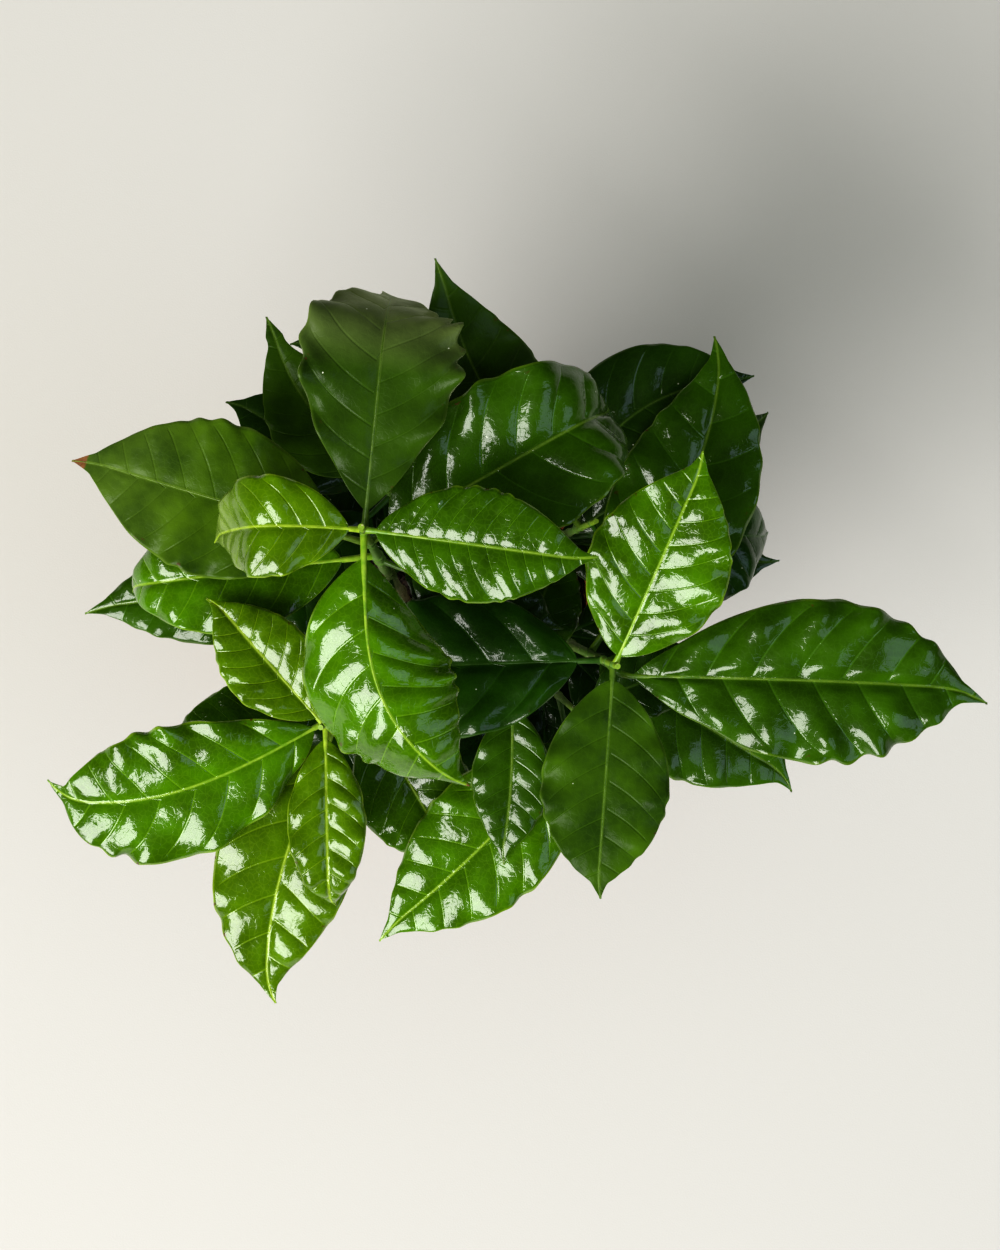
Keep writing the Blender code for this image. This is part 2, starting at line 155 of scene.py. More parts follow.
SEEDLINGS = (
    Seedling("left_tall", foot=(-28, -4), bud=(-37, 25, 344), curve=1.0, stoutness=1.1, leaves=(
        Leaf(338, -8, 83, 43, "young", rise=8, droop=10, roll=6, fold=0.22, wave=0.06,
             petiole=5, pairs=12, slant=0.34, quilt=0.08),
        Leaf(338, 177, 72, 38, "opening", rise=10, droop=72, bend=9, crease=0.46, sweep=22,
             petiole=5, quilt=0.07, dust=0.22),
        Leaf(331, 84, 108, 60, "matt", rise=9, droop=84, bend=9, crease=0.64, roll=7, fold=0.12,
             arch=0.10, wave=0.10, petiole=8, belly=1.30, roundness=0.65, quilt=0.035, pairs=9,
             scallop=0.06, hook=4, dust=0.34),
        Leaf(332, -89, 105, 55, "fresh", rise=4, droop=46, bend=2, sweep=56, swerve=3,
             turn_at=0.66, roll=-20, twist=50, fold=-0.28, petiole=10, belly=1.05,
             roundness=0.65, quilt=0.12, pairs=8, scallop=0.05, dry=0.03),
        Leaf(302, 164, 107, 60, "dusty", rise=4, droop=20, sweep=-2, fold=0.12, arch=0.10,
             petiole=14, dry=0.07, quilt=0.035, pairs=9, dust=0.05),
        Leaf(308, 29, 122, 63, "grown", rise=8, droop=86, bend=12, crease=0.68, arch=0.12,
             petiole=10, roundness=0.65, quilt=0.10, pairs=8),
        Leaf(230, 187, 114, 44, "grown", rise=0, droop=16, petiole=14),
        Leaf(273, 187, 98, 48, "fresh", rise=2, droop=85, bend=9, crease=0.84, petiole=14),
        Leaf(262, -22, 66, 40, "shaded", rise=0, droop=24, petiole=14),
        Leaf(214, 128, 66, 34, "old", rise=2, droop=40),
        low_leaf(222, -70, 50, 28),
        low_leaf(165, 100, 50, 28, petiole=8),
    )),
    Seedling("front_left", foot=(-22, -22), bud=(-56, -51, 284), leaves=(
        Leaf(280, 131, 64, 36, "opening", rise=12, droop=24, petiole=4, fold=0.34, quilt=0.10,
             flatness=3.4, pairs=8),
        Leaf(278, -89, 74, 31, "opening", rise=2, droop=72, bend=7, crease=0.85, petiole=6,
             quilt=0.16, flatness=3.4, pairs=8),
        Leaf(270, 209, 114, 55, "fresh", droop=20, sweep=-45, roll=-14, petiole=8, belly=1.30,
             roundness=0.55, quilt=0.08, flatness=2.8, pairs=8, scallop=0.05, hook=-6),
        Leaf(258, -112, 112, 55, "opening", rise=2, droop=25, sweep=26, petiole=14, quilt=0.08,
             flatness=2.8, pairs=7, hook=3),
        # Painted light: these two low leaves lie in shade under the leaves above and take the
        # bright fresh green so that they look lit
        Leaf(240, 194, 72, 37, "fresh", rise=2, droop=20),
        Leaf(232, -60, 76, 48, "fresh", rise=-4, droop=18, petiole=10),
        Leaf(212, 150, 52, 30, "old", rise=0, droop=30),
        low_leaf(194, -120, 66, 34),
        low_leaf(188, 50, 44, 26),
    )),
    Seedling("right", foot=(24, -10), bud=(59.5, -27, 294), stoutness=1.05, leaves=(
        Leaf(290, 67, 87, 55, "fresh", rise=20, droop=14, petiole=4, quilt=0.08, flatness=3.4,
             pairs=9),
        Leaf(288, -94, 86, 50, "dull", rise=4, droop=16, fold=0.10, arch=0.10, petiole=6,
             belly=1.05, roundness=0.65, quilt=0.04, pairs=8, hook=1.5),
        Leaf(280, -1, 140, 64, "grown", rise=8, droop=20, sweep=-4, wave=0.10, waves=6.5,
             petiole_azimuth=-60, belly=1.20, roundness=0.70, quilt=0.12, pairs=8, scallop=0.05,
             hook=-5),
        Leaf(274, 182, 104, 58, "old", rise=-2, droop=16, roll=7, petiole=10, quilt=0.12, pairs=6,
             slant=0.65),
        Leaf(254, 57, 124, 56, "grown", rise=8, droop=14, sweep=36, petiole=16, quilt=0.10,
             pairs=7),
        Leaf(224, -31, 98, 52, "grown", rise=0, droop=18, petiole=14, hook=-5),
        Leaf(218, 152, 70, 40, "old", rise=0, droop=20, petiole=14),
        low_leaf(190, 20, 70, 36),
        low_leaf(186, -45, 62, 34),
        low_leaf(166, -8, 58, 34, petiole=5),
    )),
    Seedling("back_left", foot=(-12, 24), bud=(-34, 46, 262), stoutness=0.9, leaves=(
        Leaf(258, 136, 76, 40, "dull", rise=18, droop=16, sweep=-40, petiole=6, belly=0.80,
             roundness=1.15, quilt=0.03),
        Leaf(244, -40, 52, 28, "shaded", droop=20, petiole=8),
        Leaf(246, 150, 65, 40, "shaded", rise=16, droop=14, petiole=10, quilt=0.03),
        Leaf(240, 224, 88, 44, "old", rise=2, droop=18),
        Leaf(232, 102, 74, 38, "shaded", rise=12, droop=18, sweep=72, petiole=10),
        Leaf(222, 72, 66, 44, "old", rise=4, droop=30),
        low_leaf(192, 130, 64, 34),
        low_leaf(192, 196, 54, 26),
    )),
    Seedling("back_right", foot=(16, 18), bud=(52, 30, 272), stoutness=0.95, leaves=(
        Leaf(253, 130, 124, 50, "matt", rise=34, droop=10, sweep=-33, roll=10, petiole=10,
             quilt=0.02),
        Leaf(266, -60, 56, 30, "old", rise=16, droop=20, petiole=6),
        Leaf(236, 30, 96, 46, "shaded", rise=8, droop=50, bend=6, crease=0.8, petiole=4),
        Leaf(246, 84, 94, 50, "shaded", rise=8, droop=20, sweep=-86, swerve=0.9),
        Leaf(226, 0, 88, 62, "old", rise=4, droop=75, bend=7, crease=0.72),
        Leaf(208, -6, 95, 42, "shaded", rise=0, droop=14, petiole=3, belly=0.85,
             roundness=0.60),
        low_leaf(190, 96, 68, 36),
        Leaf(196, 150, 50, 28, "old", rise=0, droop=30),
    )),
    Seedling("front_right", foot=(22, -26), bud=(46, -47, 254), stoutness=0.9, leaves=(
        Leaf(246, -126, 114, 54, "fresh", rise=-2, droop=12, sweep=-16, swerve=1, petiole=14,
             petiole_azimuth=-70),
        Leaf(244, 22, 54, 30, "shaded", rise=4, droop=20, petiole=8),
        Leaf(216, -78, 68, 40, "shaded", rise=-6, droop=20),
        low_leaf(182, -88, 68, 40, petiole=4, roundness=0.60),
        low_leaf(170, -40, 52, 32, petiole=4),
    )),
    Seedling("middle", foot=(4, -20), bud=(20, -37, 262), stoutness=0.85, leaves=(
        Leaf(254, -90, 64, 32, "grown", rise=0, droop=10, sweep=-14, petiole=8),
        Leaf(250, 70, 56, 34, "grown", rise=-4, droop=10, petiole=8),
        Leaf(244, 196, 40, 26, "grown", rise=0, droop=12),
        Leaf(200, -96, 72, 36, "old", rise=-4, droop=36),
    )),
)


def metres(millimetres):
    return millimetres / 1000


# The fields of a leaf that its line takes and those that only its blade takes, each with the
# change from millimetres and degrees into the trees' units
LINE_FIELDS = (
    ("azimuth", math.radians),
    ("rise", math.radians),
    ("droop", math.radians),
    ("bend", float),
    ("crease", float),
    ("sweep", math.radians),
    ("swerve", float),
    ("turn_at", float),
    ("roll", math.radians),
    ("twist", math.radians),
    ("length", metres),
    ("petiole", metres),
)
BLADE_FIELDS = (
    ("width", metres),
    ("hook", metres),
    *((field, float) for field in (
        "fold", "wave", "waves", "arch", "belly", "roundness", "pairs", "slant", "quilt",
        "flatness", "scallop", "dry", "dust",
    )),
)

# Kinds of node that are used most, by plain words, with the settings that go with each
KINDS = {
    "ease": ("ShaderNodeMapRange", {"interpolation_type": "SMOOTHSTEP"}),
    "tint": ("ShaderNodeMix", {"data_type": "RGBA"}),
    "cell edges": ("ShaderNodeTexVoronoi", {"feature": "DISTANCE_TO_EDGE"}),
}
for word, kind in (
    ("range", "ShaderNodeMapRange"), ("mix", "ShaderNodeMix"), ("noise", "ShaderNodeTexNoise"),
    ("cells", "ShaderNodeTexVoronoi"), ("join", "ShaderNodeCombineXYZ"),
    ("split", "ShaderNodeSeparateXYZ"), ("attribute", "ShaderNodeAttribute"),
    ("coordinate", "ShaderNodeTexCoord"), ("kept", "GeometryNodeInputNamedAttribute"),
    ("keep", "GeometryNodeStoreNamedAttribute"), ("place", "GeometryNodeSetPosition"),
):
    KINDS[word] = (kind, {})
for lead, kind, words in (
    ("", "ShaderNodeMath", "add subtract multiply divide power absolute floor fract round sine "
     "cosine exponent minimum maximum multiply_add greater_than less_than"),
    ("vector ", "ShaderNodeVectorMath", "add subtract multiply multiply_add scale"),
):
    for word in words.split():
        KINDS[lead + word.replace("_", " ")] = (kind, {"operation": word.upper()})

FLOAT = "NodeSocketFloat"
INT = "NodeSocketInt"
POINT = "NodeSocketVector"
MATERIAL = "NodeSocketMaterial"
GEOMETRY = "NodeSocketGeometry"


def linear(code):
    """An sRGB hex colour as linear RGBA."""
    channels = []
    for k in (1, 3, 5):
        value = int(code[k:k + 2], 16) / 255
        channels.append(value / 12.92 if value <= 0.04045 else ((value + 0.055) / 1.055) ** 2.4)
    return (*channels, 1.0)


def add_node(tree, kind, *inputs, out=0, named=None, **settings):
    """Adds a node with its settings, and fills its open inputs in order, then those named, each
    with a link, a list of links or a value. Returns the output that out numbers or names."""
    kind, preset = KINDS.get(kind, (kind, {}))
    node = tree.nodes.new(kind)
    for key, value in {**preset, **settings}.items():
        setattr(node, key, value)
    sockets = [socket for socket in node.inputs if socket.enabled]
    pairs = list(zip(sockets, inputs))
    pairs += [(node.inputs[key], value) for key, value in (named or {}).items()]
    for socket, value in pairs:
        for item in value if isinstance(value, list) else [value]:
            if isinstance(item, bpy.types.NodeSocket):
                tree.links.new(item, socket)
            elif item is not None:
                socket.default_value = item
    outputs = [socket for socket in node.outputs if socket.enabled]
    if not outputs:
        return node
    return node.outputs[out] if isinstance(out, str) else outputs[out]


def new_tree(name, wants):
    """A Geometry Nodes tree with these inputs, (name, socket type, default). Returns the function
    that adds to it, and its inputs' sockets by name."""
    tree = bpy.data.node_groups.new(name, "GeometryNodeTree")
    for title, kind, default in wants:
        socket = tree.interface.new_socket(title, in_out="INPUT", socket_type=kind)
        if default is not None:
            socket.default_value = default
    tree.interface.new_socket("Geometry", in_out="OUTPUT", socket_type=GEOMETRY)
    given = tree.nodes.new("NodeGroupInput").outputs
    return partial(add_node, tree), {title: given[title] for title, *_ in wants}


def end_tree(add, geometry):
    """Ends a tree with this geometry, and returns the tree."""
    return add("NodeGroupOutput", geometry).id_data


def end_mesh(add, geometry, *material):
    """Ends a tree that makes a smooth mesh, with its instances made real."""
    geometry = add("GeometryNodeRealizeInstances", add("GeometryNodeSetShadeSmooth", geometry))
    if material:
        geometry = add("GeometryNodeSetMaterial", geometry, None, *material)
    return end_tree(add, geometry)


def tube_along(add, line, sides):
    """A closed tube along a line, of the radius that the line's points keep."""
    ring = add("GeometryNodeCurvePrimitiveCircle", sides, 1.0)
    line = add("GeometryNodeMeshToCurve", line)
    return add("GeometryNodeCurveToMesh", line, ring, add("kept", "radius_m"), True)


# ---------------------------------------------------------------- trees: the leaves

def titled(field):
    """A leaf's field as the name of a tree's input."""
    return field.replace("_", " ").title()


def leaf_inputs(fields):
    """Inputs for these fields, with the first leaf's values as defaults."""
    first = SEEDLINGS[0].leaves[0]
    return tuple((titled(field), FLOAT, change(getattr(first, field))) for field, change in fields)


def leaf_values(leaf, fields):
    """A leaf's values for these fields, in the trees' units."""
    return {titled(field): change(getattr(leaf, field)) for field, change in fields}


LINE_INPUTS = (
    ("Stem Point", POINT, (0, 0, 0)),
    *leaf_inputs(LINE_FIELDS),
    ("Petiole Azimuth", FLOAT, 0.0),
    ("Steps", INT, 90),
    ("Stalk Steps", INT, STALK_STEPS),
)
BLADE_INPUTS = (
    *leaf_inputs(BLADE_FIELDS),
    ("Phase", FLOAT, 0.0),
    ("Crumple", FLOAT, 0.008),
    ("Seed", FLOAT, 0.0),
    ("Columns", INT, 33),
    ("Material", MATERIAL, None),
)
STALK_INPUTS = (
    ("Rib Radius", FLOAT, 0.001),
    ("Hook", FLOAT, 0.002),
    ("Material", MATERIAL, None),
)


def bent(add, share, bend, crease):
    """How much of a turn is done at a share of the length: half of it lies near a low crease."""
    reached = add("power", share, bend)
    hinge = add("power", crease, bend)
    whole = add("add", hinge, 1.0)
    done = add("multiply", reached, whole)
    over = add("add", reached, hinge)
    return add("divide", done, over)


@cache
def leaf_line_tree():
    """The line of one leaf, from inside the stem along the petiole and the midrib to the tip. Its
    points carry the blade's turning there, and their shares of petiole and blade."""
    add, given = new_tree("Coffee leaf line", LINE_INPUTS)
    index = add("GeometryNodeInputIndex")
    past = add("subtract", index, given["Stalk Steps"])
    counted = add("maximum", past, 0.0)
    share = add("divide", counted, given["Steps"], use_clamp=True)
    half_on = add("add", index, 0.5)
    grown = add("divide", half_on, given["Stalk Steps"], use_clamp=True)
    left = add("subtract", 1.0, grown)

    drooped = bent(add, share, given["Bend"], given["Crease"])
    swept = bent(add, share, given["Swerve"], given["Turn At"])
    slope = add("multiply add", left, PETIOLE_RISE, given["Rise"])
    fall = add("subtract", add("multiply", drooped, given["Droop"]), slope)
    astray = add("subtract", given["Petiole Azimuth"], given["Azimuth"])
    turn = add("multiply add", left, astray, given["Azimuth"])
    turn = add("multiply add", swept, given["Sweep"], turn)
    lean = add("multiply add", share, given["Twist"], add("multiply", grown, given["Roll"]))
    euler = add("join", lean, fall, turn)
    turned = add("FunctionNodeEulerToRotation", euler)
    forward = add("FunctionNodeRotateVector", (1, 0, 0), turned)

    on_stalk = add("less than", past, 0.0)
    blade_pace = add("divide", given["Length"], given["Steps"])
    stalk_pace = add("divide", given["Petiole"], given["Stalk Steps"])
    pace = add("mix", on_stalk, blade_pace, stalk_pace)
    move = add("vector scale", forward, named={"Scale": pace})
    gone = add("GeometryNodeAccumulateField", move, out="Trailing", data_type="FLOAT_VECTOR")
    place = add("vector add", gone, given["Stem Point"])

    count = add("add", add("add", given["Steps"], given["Stalk Steps"]), 1.0)
    line = add("GeometryNodeMeshLine", count, (0, 0, 0), (0, 0, 0.001))
    line = add("place", line, None, place)
    line = add("keep", line, None, "turned", turned, data_type="QUATERNION")
    line = add("keep", add("keep", line, None, "share", share), None, "stalk_left", left)
    return end_tree(add, line)


def leaf_outline(add, given, share):
    """Half the blade's width at a share of its length, as a share of the greatest: long and oval
    with a narrow drip tip."""
    along = add("power", add("divide", share, BLADE_END, use_clamp=True), given["Belly"])
    arc = add("sine", add("multiply", along, math.pi), use_clamp=True)
    blunt = add("multiply", given["Roundness"], 4.0)
    body = add("power", arc, blunt)
    start = add("ease", share, DRIP_TIP_START, DRIP_TIP_START + 0.25, 0.0, 1.0)
    ended = add("range", share, 0.90, 1.0, DRIP_TIP_WIDTH, 0.0)
    tip = add("power", add("multiply", start, ended), 4.0)
    both = add("add", body, tip)
    return add("power", both, 0.25)


def leaf_blade_tree():
    """One blade: a grid laid along the leaf's line, folded on the midrib, waved at the margin and
    quilted between its side veins."""
    add, given = new_tree("Coffee leaf blade", LINE_INPUTS + BLADE_INPUTS)
    line = add("GeometryNodeGroup", *[given[title] for title, *_ in LINE_INPUTS],
               node_tree=leaf_line_tree())
    steps = given["Steps"]
    rows = add("add", steps, 1.0)
    grid = add("GeometryNodeMeshGrid", 1.0, 2.0, rows, given["Columns"])
    position = add("GeometryNodeInputPosition")
    split = add("split", position).node
    share = add("add", split.outputs["X"], 0.5)
    side = split.outputs["Y"]
    off = add("absolute", side)
    row = add("round", add("multiply add", share, steps, given["Stalk Steps"]))
    centre = add("GeometryNodeSampleIndex", line, position, row, data_type="FLOAT_VECTOR")
    turned = add("kept", "turned", data_type="QUATERNION")
    turned = add("GeometryNodeSampleIndex", line, turned, row, data_type="QUATERNION")

    # The outline, and the blade's own flat places in metres
    outline = leaf_outline(add, given, share)
    most = add("multiply", given["Width"], 0.5)
    half = add("maximum", add("multiply", outline, most), 0.0004)
    along_m = add("multiply", share, given["Length"])
    side_m = add("multiply", side, half)

    # Side veins leave the midrib at a steep angle and bow towards the tip
    reach = add("multiply", outline, off)
    stretch = add("divide", most, given["Length"])
    bow = add("multiply", add("power", reach, 2.5), 0.30)
    lag = add("multiply", add("multiply add", reach, given["Slant"], bow), stretch)
    level = add("subtract", share, lag)
    rank = add("multiply", level, given["Pairs"])
    right = add("greater than", side, 0.0)
    rank = add("multiply add", right, VEIN_SHIFT, rank)
    gap = add("fract", rank)
    panel = add("floor", rank)

    # Panels between the veins bulge, each by its own amount
    middle = add("absolute", add("multiply add", gap, 2.0, -1.0))
    middle = add("power", middle, given["Flatness"])
    pillow = add("subtract", 1.0, middle)
    which = add("join", panel, right, given["Seed"])
    chance = add("ShaderNodeTexWhiteNoise", which, out="Value")
    amount = add("range", chance, 0.0, 1.0, 0.55, 1.25)
    rib_near = add("ease", off, 0.0, 0.16, 0.0, 1.0)
    edge_near = add("ease", off, 0.70, 1.0, 1.0, 0.15)
    base_near = add("ease", share, 0.02, 0.14, 0.0, 1.0)
    tip_near = add("ease", share, 0.80, 0.96, 1.0, 0.0)
    puff = add("multiply", pillow, amount)
    spacing = add("divide", given["Length"], given["Pairs"])
    for share_of in (rib_near, edge_near, base_near, tip_near, given["Quilt"], spacing):
        puff = add("multiply", puff, share_of)

    # Slow crumpling over a few panels
    spot = add("join", along_m, side_m, given["Seed"])
    slow = add("range", add("noise", spot, 55.0, 2.0, 0.5), 0.25, 0.75, -1.0, 1.0)
    crumple = add("multiply", add("multiply", slow, rib_near), given["Quilt"])
    crumple = add("multiply", crumple, given["Crumple"])

    # Fold on the midrib, arch, and the waves of the margin
    beat = add("multiply", given["Waves"], 2 * math.pi)
    beat = add("multiply add", beat, share, given["Phase"])
    beat = add("sine", add("multiply add", right, MARGIN_TURN, beat))
    wave = add("subtract", add("multiply", beat, given["Wave"]), given["Arch"])
    square = add("multiply", side, side)
    wave = add("multiply", wave, square)
    lift = add("multiply add", add("multiply add", off, given["Fold"], wave), half, puff)
    lift = add("add", lift, crumple)

    # The margin is scalloped where the side veins reach it, and the tip turns aside
    notch = add("cosine", add("multiply", rank, 2 * math.pi))
    on_rim = add("join", rank, given["Seed"], right)
    uneven = add("range", add("noise", on_rim, 0.6, 0.0), 0.40, 0.66, 0.0, 1.0)
    notch = add("multiply", notch, uneven)
    rim = add("power", off, 5.0)
    notch = add("multiply", add("multiply", notch, rim), given["Scallop"])
    shrunk = add("subtract", 1.0, notch)
    aside = add("multiply", side_m, shrunk)
    drop = add("multiply", notch, half)
    lift = add("multiply add", drop, -1.2, lift)
    ended = add("power", add("range", share, HOOK_START, 1.0, 0.0, 1.0), 2.0)
    aside = add("multiply add", ended, given["Hook"], aside)
    local = add("FunctionNodeRotateVector", add("join", 0.0, aside, lift), turned)
    place = add("vector add", centre, local)
    in_mm = add("vector multiply", spot, (1000.0, 1000.0, 1.0))
    veins = add("join", rank, share, off)
    # A pale olive film over the outer half, which stands partly for dust and partly for a painted
    # sheen where the blade bends away
    dust = add("range", share, 0.48, 0.80, 0.0, given["Dust"])
    turning = add("subtract", 1.0, given["Dry"])
    after = add("add", turning, 0.035)
    dry = add("range", share, turning, after, 0.0, 1.0)

    # The fields above read the flat grid, so they are kept before it is moved
    blade = add("keep", grid, None, "blade_mm", in_mm, data_type="FLOAT_VECTOR")
    blade = add("keep", blade, None, "veins", veins, data_type="FLOAT_VECTOR")
    blade = add("keep", add("keep", blade, None, "dry", dry), None, "dust", dust)
    blade = add("place", blade, None, place)
    return end_mesh(add, blade, given["Material"])


def leaf_stalk_tree():
    """One petiole, stouter at the stem, which runs on under the blade as its midrib and thins
    towards the tip."""
    add, given = new_tree("Coffee leaf stalk", LINE_INPUTS + STALK_INPUTS)
    line = add("GeometryNodeGroup", *[given[title] for title, *_ in LINE_INPUTS],
               node_tree=leaf_line_tree())
    share = add("kept", "share")
    left = add("kept", "stalk_left")
    turned = add("kept", "turned", data_type="QUATERNION")
    rest = add("power", add("subtract", 1.0, share), 3.0)
    thin = add("multiply add", rest, 1.00, 0.20)
    foot = add("power", left, 1.5)
    thin = add("multiply add", foot, 0.45, thin)
    radius = add("multiply", thin, given["Rib Radius"])
    sunk = add("multiply", radius, -0.62)
    ended = add("power", add("range", share, HOOK_START, 1.0, 0.0, 1.0), 2.0)
    ended = add("multiply", ended, given["Hook"])
    sunk = add("FunctionNodeRotateVector", add("join", 0.0, ended, sunk), turned)
    line = add("place", add("keep", line, None, "radius_m", radius), None, None, sunk)
    return end_mesh(add, tube_along(add, line, 10), given["Material"])


# ---------------------------------------------------------------- tree: the stems

STEM_INPUTS = (
    ("Leaf Bases", GEOMETRY, None),
    ("Foot", POINT, (0, 0, SOIL_TOP)),
    ("Bud", POINT, (0, 0, 0.3)),
    ("Curve", FLOAT, 1.3),
    ("Stoutness", FLOAT, 1.0),
    ("Buried", FLOAT, 0.003),
    ("Relief", FLOAT, 0.00025),
    ("Rows", INT, 200),
    ("Sides", INT, 20),
    ("Seed", FLOAT, 0.0),
    ("Material", MATERIAL, None),
)


def stem_tree():
    """One stem by the frame's rule, flared at its foot, with a swollen collar at each leaf."""
    add, given = new_tree("Coffee stem", STEM_INPUTS)
    foot = add("split", given["Foot"]).node.outputs
    bud = add("split", given["Bud"]).node.outputs
    index = add("GeometryNodeInputIndex")
    part = add("divide", index, given["Rows"])
    tall = add("subtract", bud["Z"], foot["Z"])
    whole = add("add", tall, given["Buried"])
    height = add("subtract", add("multiply", part, whole), given["Buried"])
    risen = add("divide", height, tall, use_clamp=True)
    out = add("power", risen, given["Curve"])
    flat_foot = add("join", foot["X"], foot["Y"], 0.0)
    flat_bud = add("join", bud["X"], bud["Y"], 0.0)
    level = add("mix", out, flat_foot, flat_bud, data_type="VECTOR")
    up = add("join", 0.0, 0.0, add("add", height, foot["Z"]))
    place = add("vector add", level, up)
    plain = add("range", risen, 0.0, 1.0, STEM_FOOT_RADIUS, STEM_TIP_RADIUS)
    plain = add("multiply", plain, given["Stoutness"])
    fade = add("minimum", add("exponent", add("divide", height, -ROOT_FLARE_HEIGHT)), 1.2)
    radius = add("multiply add", fade, ROOT_FLARE, plain)

    count = add("add", given["Rows"], 1.0)
    line = add("GeometryNodeMeshLine", count, (0, 0, 0), (0, 0, 0.001))
    line = add("keep", add("keep", line, None, "radius_m", radius), None, "risen", risen)
    line = add("place", line, None, place)
    tube = tube_along(add, line, given["Sides"])

    # Bark ridges run up the stem: the noise is stretched eight times along it
    position = add("GeometryNodeInputPosition")
    drawn = add("vector multiply", position, (1.0, 1.0, 0.125))
    shift = add("join", given["Seed"], 0.0, 0.0)
    drawn = add("vector add", drawn, shift)
    ridge = add("subtract", add("noise", drawn, 900.0, 2.0, 0.5), 0.5)
    ridge = add("multiply", ridge, given["Relief"])
    normal = add("GeometryNodeInputNormal")
    push = add("vector scale", normal, named={"Scale": ridge})
    tube = add("place", tube, None, None, push)

    # A collar where each leaf leaves the stem
    ball = add("GeometryNodeMeshUVSphere", 14, 9, 1.0)
    girth = add("kept", "reach")
    wide = add("multiply", girth, 1.28)
    size = add("join", wide, wide, girth)
    collars = add("GeometryNodeInstanceOnPoints", given["Leaf Bases"], None, ball,
                  named={"Scale": size})
    return end_mesh(add, add("GeometryNodeJoinGeometry", [tube, collars]), given["Material"])


# ---------------------------------------------------------------- tree: the compost

COMPOST_INPUTS = (
    ("Surface", GEOMETRY, None),
    ("Chips", FLOAT, 26000.0),
    ("Crumbs", FLOAT, 150000.0),
    ("Grains", FLOAT, 7000.0),
    ("Fibres", FLOAT, 14000.0),
    ("Compost", MATERIAL, None),
    ("Bark Chip", MATERIAL, None),
    ("Perlite", MATERIAL, None),
    ("Fibre", MATERIAL, None),
)
# Input, material, segments, rings, half sizes in metres, roughening, least and greatest scale
COMPOST_KINDS = (
    ("Chips", "Bark Chip", 7, 5, (0.0042, 0.0024, 0.0012), 0.0012, 0.45, 1.25),
    ("Crumbs", "Compost", 5, 4, (0.0010, 0.0009, 0.0007), 0.0004, 0.5, 1.7),
    ("Grains", "Perlite", 6, 5, (0.0015, 0.0013, 0.0012), 0.0006, 0.5, 1.3),
    ("Fibres", "Fibre", 4, 5, (0.0065, 0.00028, 0.00028), 0.0010, 0.5, 1.3),
)


def compost_tree():
    """Bark chips, crumbs, perlite grains and fibres strewn over the compost's surface."""
    add, given = new_tree("Potting compost", COMPOST_INPUTS)
    normal = add("split", add("GeometryNodeInputNormal"), out="Z")
    upward = add("greater than", normal, 0.75)
    parts = [add("GeometryNodeSetMaterial", given["Surface"], None, given["Compost"])]
    for seed, (title, finish, segments, rings, size, rough, low, high) in enumerate(COMPOST_KINDS):
        points = add("GeometryNodeDistributePointsOnFaces", given["Surface"], upward, given[title],
                     seed + 3)
        grain = add("GeometryNodeMeshUVSphere", segments, rings, 1.0)
        grain = add("GeometryNodeTransform", grain, None, None, size)
        tip = 1.57 if title == "Crumbs" else 0.5
        spin = add("FunctionNodeRandomValue", (-tip, -tip, 0.0), (tip, tip, 2 * math.pi), None,
                   seed + 11, data_type="FLOAT_VECTOR")
        scale = add("FunctionNodeRandomValue", low, high, None, seed + 23)
        strewn = add("GeometryNodeInstanceOnPoints", points, None, grain,
                     named={"Rotation": spin, "Scale": scale})
        strewn = add("GeometryNodeRealizeInstances", strewn)
        position = add("GeometryNodeInputPosition")
        shake = add("noise", position, 260.0, 1.0, 0.5, out="Color")
        shake = add("vector subtract", shake, (0.5, 0.5, 0.5))
        shake = add("vector scale", shake, named={"Scale": 2 * rough})
        strewn = add("place", strewn, None, None, shake)
        parts.append(add("GeometryNodeSetMaterial", strewn, None, given[finish]))
    return end_mesh(add, add("GeometryNodeJoinGeometry", parts))


# ---------------------------------------------------------------- materials

def new_material(name):
    """A material with an empty tree, and the function that adds to it."""
    material = bpy.data.materials.new(name)
    material.use_nodes = True
    material.node_tree.nodes.clear()
    return material, partial(add_node, material.node_tree)


def end_material(material, add, colour, rough, ior, height, depth, coat=None):
    """Ends a material with its shader, with relief by a height field over a depth in metres and
    with a coat where it has one."""
    bump = add("ShaderNodeBump", named={"Distance": depth, "Height": height})
    values = {"Base Color": colour, "Roughness": rough, "IOR": ior, "Normal": bump}
    if coat:
        values |= coat | {"Coat Normal": bump}
    add("ShaderNodeOutputMaterial", add("ShaderNodeBsdfPrincipled", named=values))
    return material


# The ages of a leaf: dark and light of its green, its side veins, midrib and petiole, then how
# much clear wax is left on it and how rough that is. 'shaded' is no age but painted shade: a
# darker copy of the greens for leaves that lie in the shade of others.
TONES = {
    "opening": ("#3F5B00", "#527400", "#78951E", "#9CB436", 1.0, 0.07),
    "fresh": ("#365400", "#497400", "#6A921C", "#8CA832", 1.0, 0.06),
    "young": ("#2B4600", "#3B5F00", "#587F18", "#7E9A2E", 1.0, 0.07),
    "grown": ("#2A4600", "#385C00", "#446A18", "#688228", 0.90, 0.09),
    "dull": ("#243E00", "#406000", "#3E5C0A", "#5A7622", 0.22, 0.30),
    "dusty": ("#2A4400", "#486600", "#48640E", "#66802A", 0.30, 0.30),
    "matt": ("#233A00", "#324E00", "#3A560C", "#50681E", 0.30, 0.30),
    "shaded": ("#1F3802", "#2A4A03", "#365810", "#4E6A24", 0.80, 0.13),
    "old": ("#1A3600", "#264C00", "#2E5410", "#3E601F", 0.80, 0.14),
}


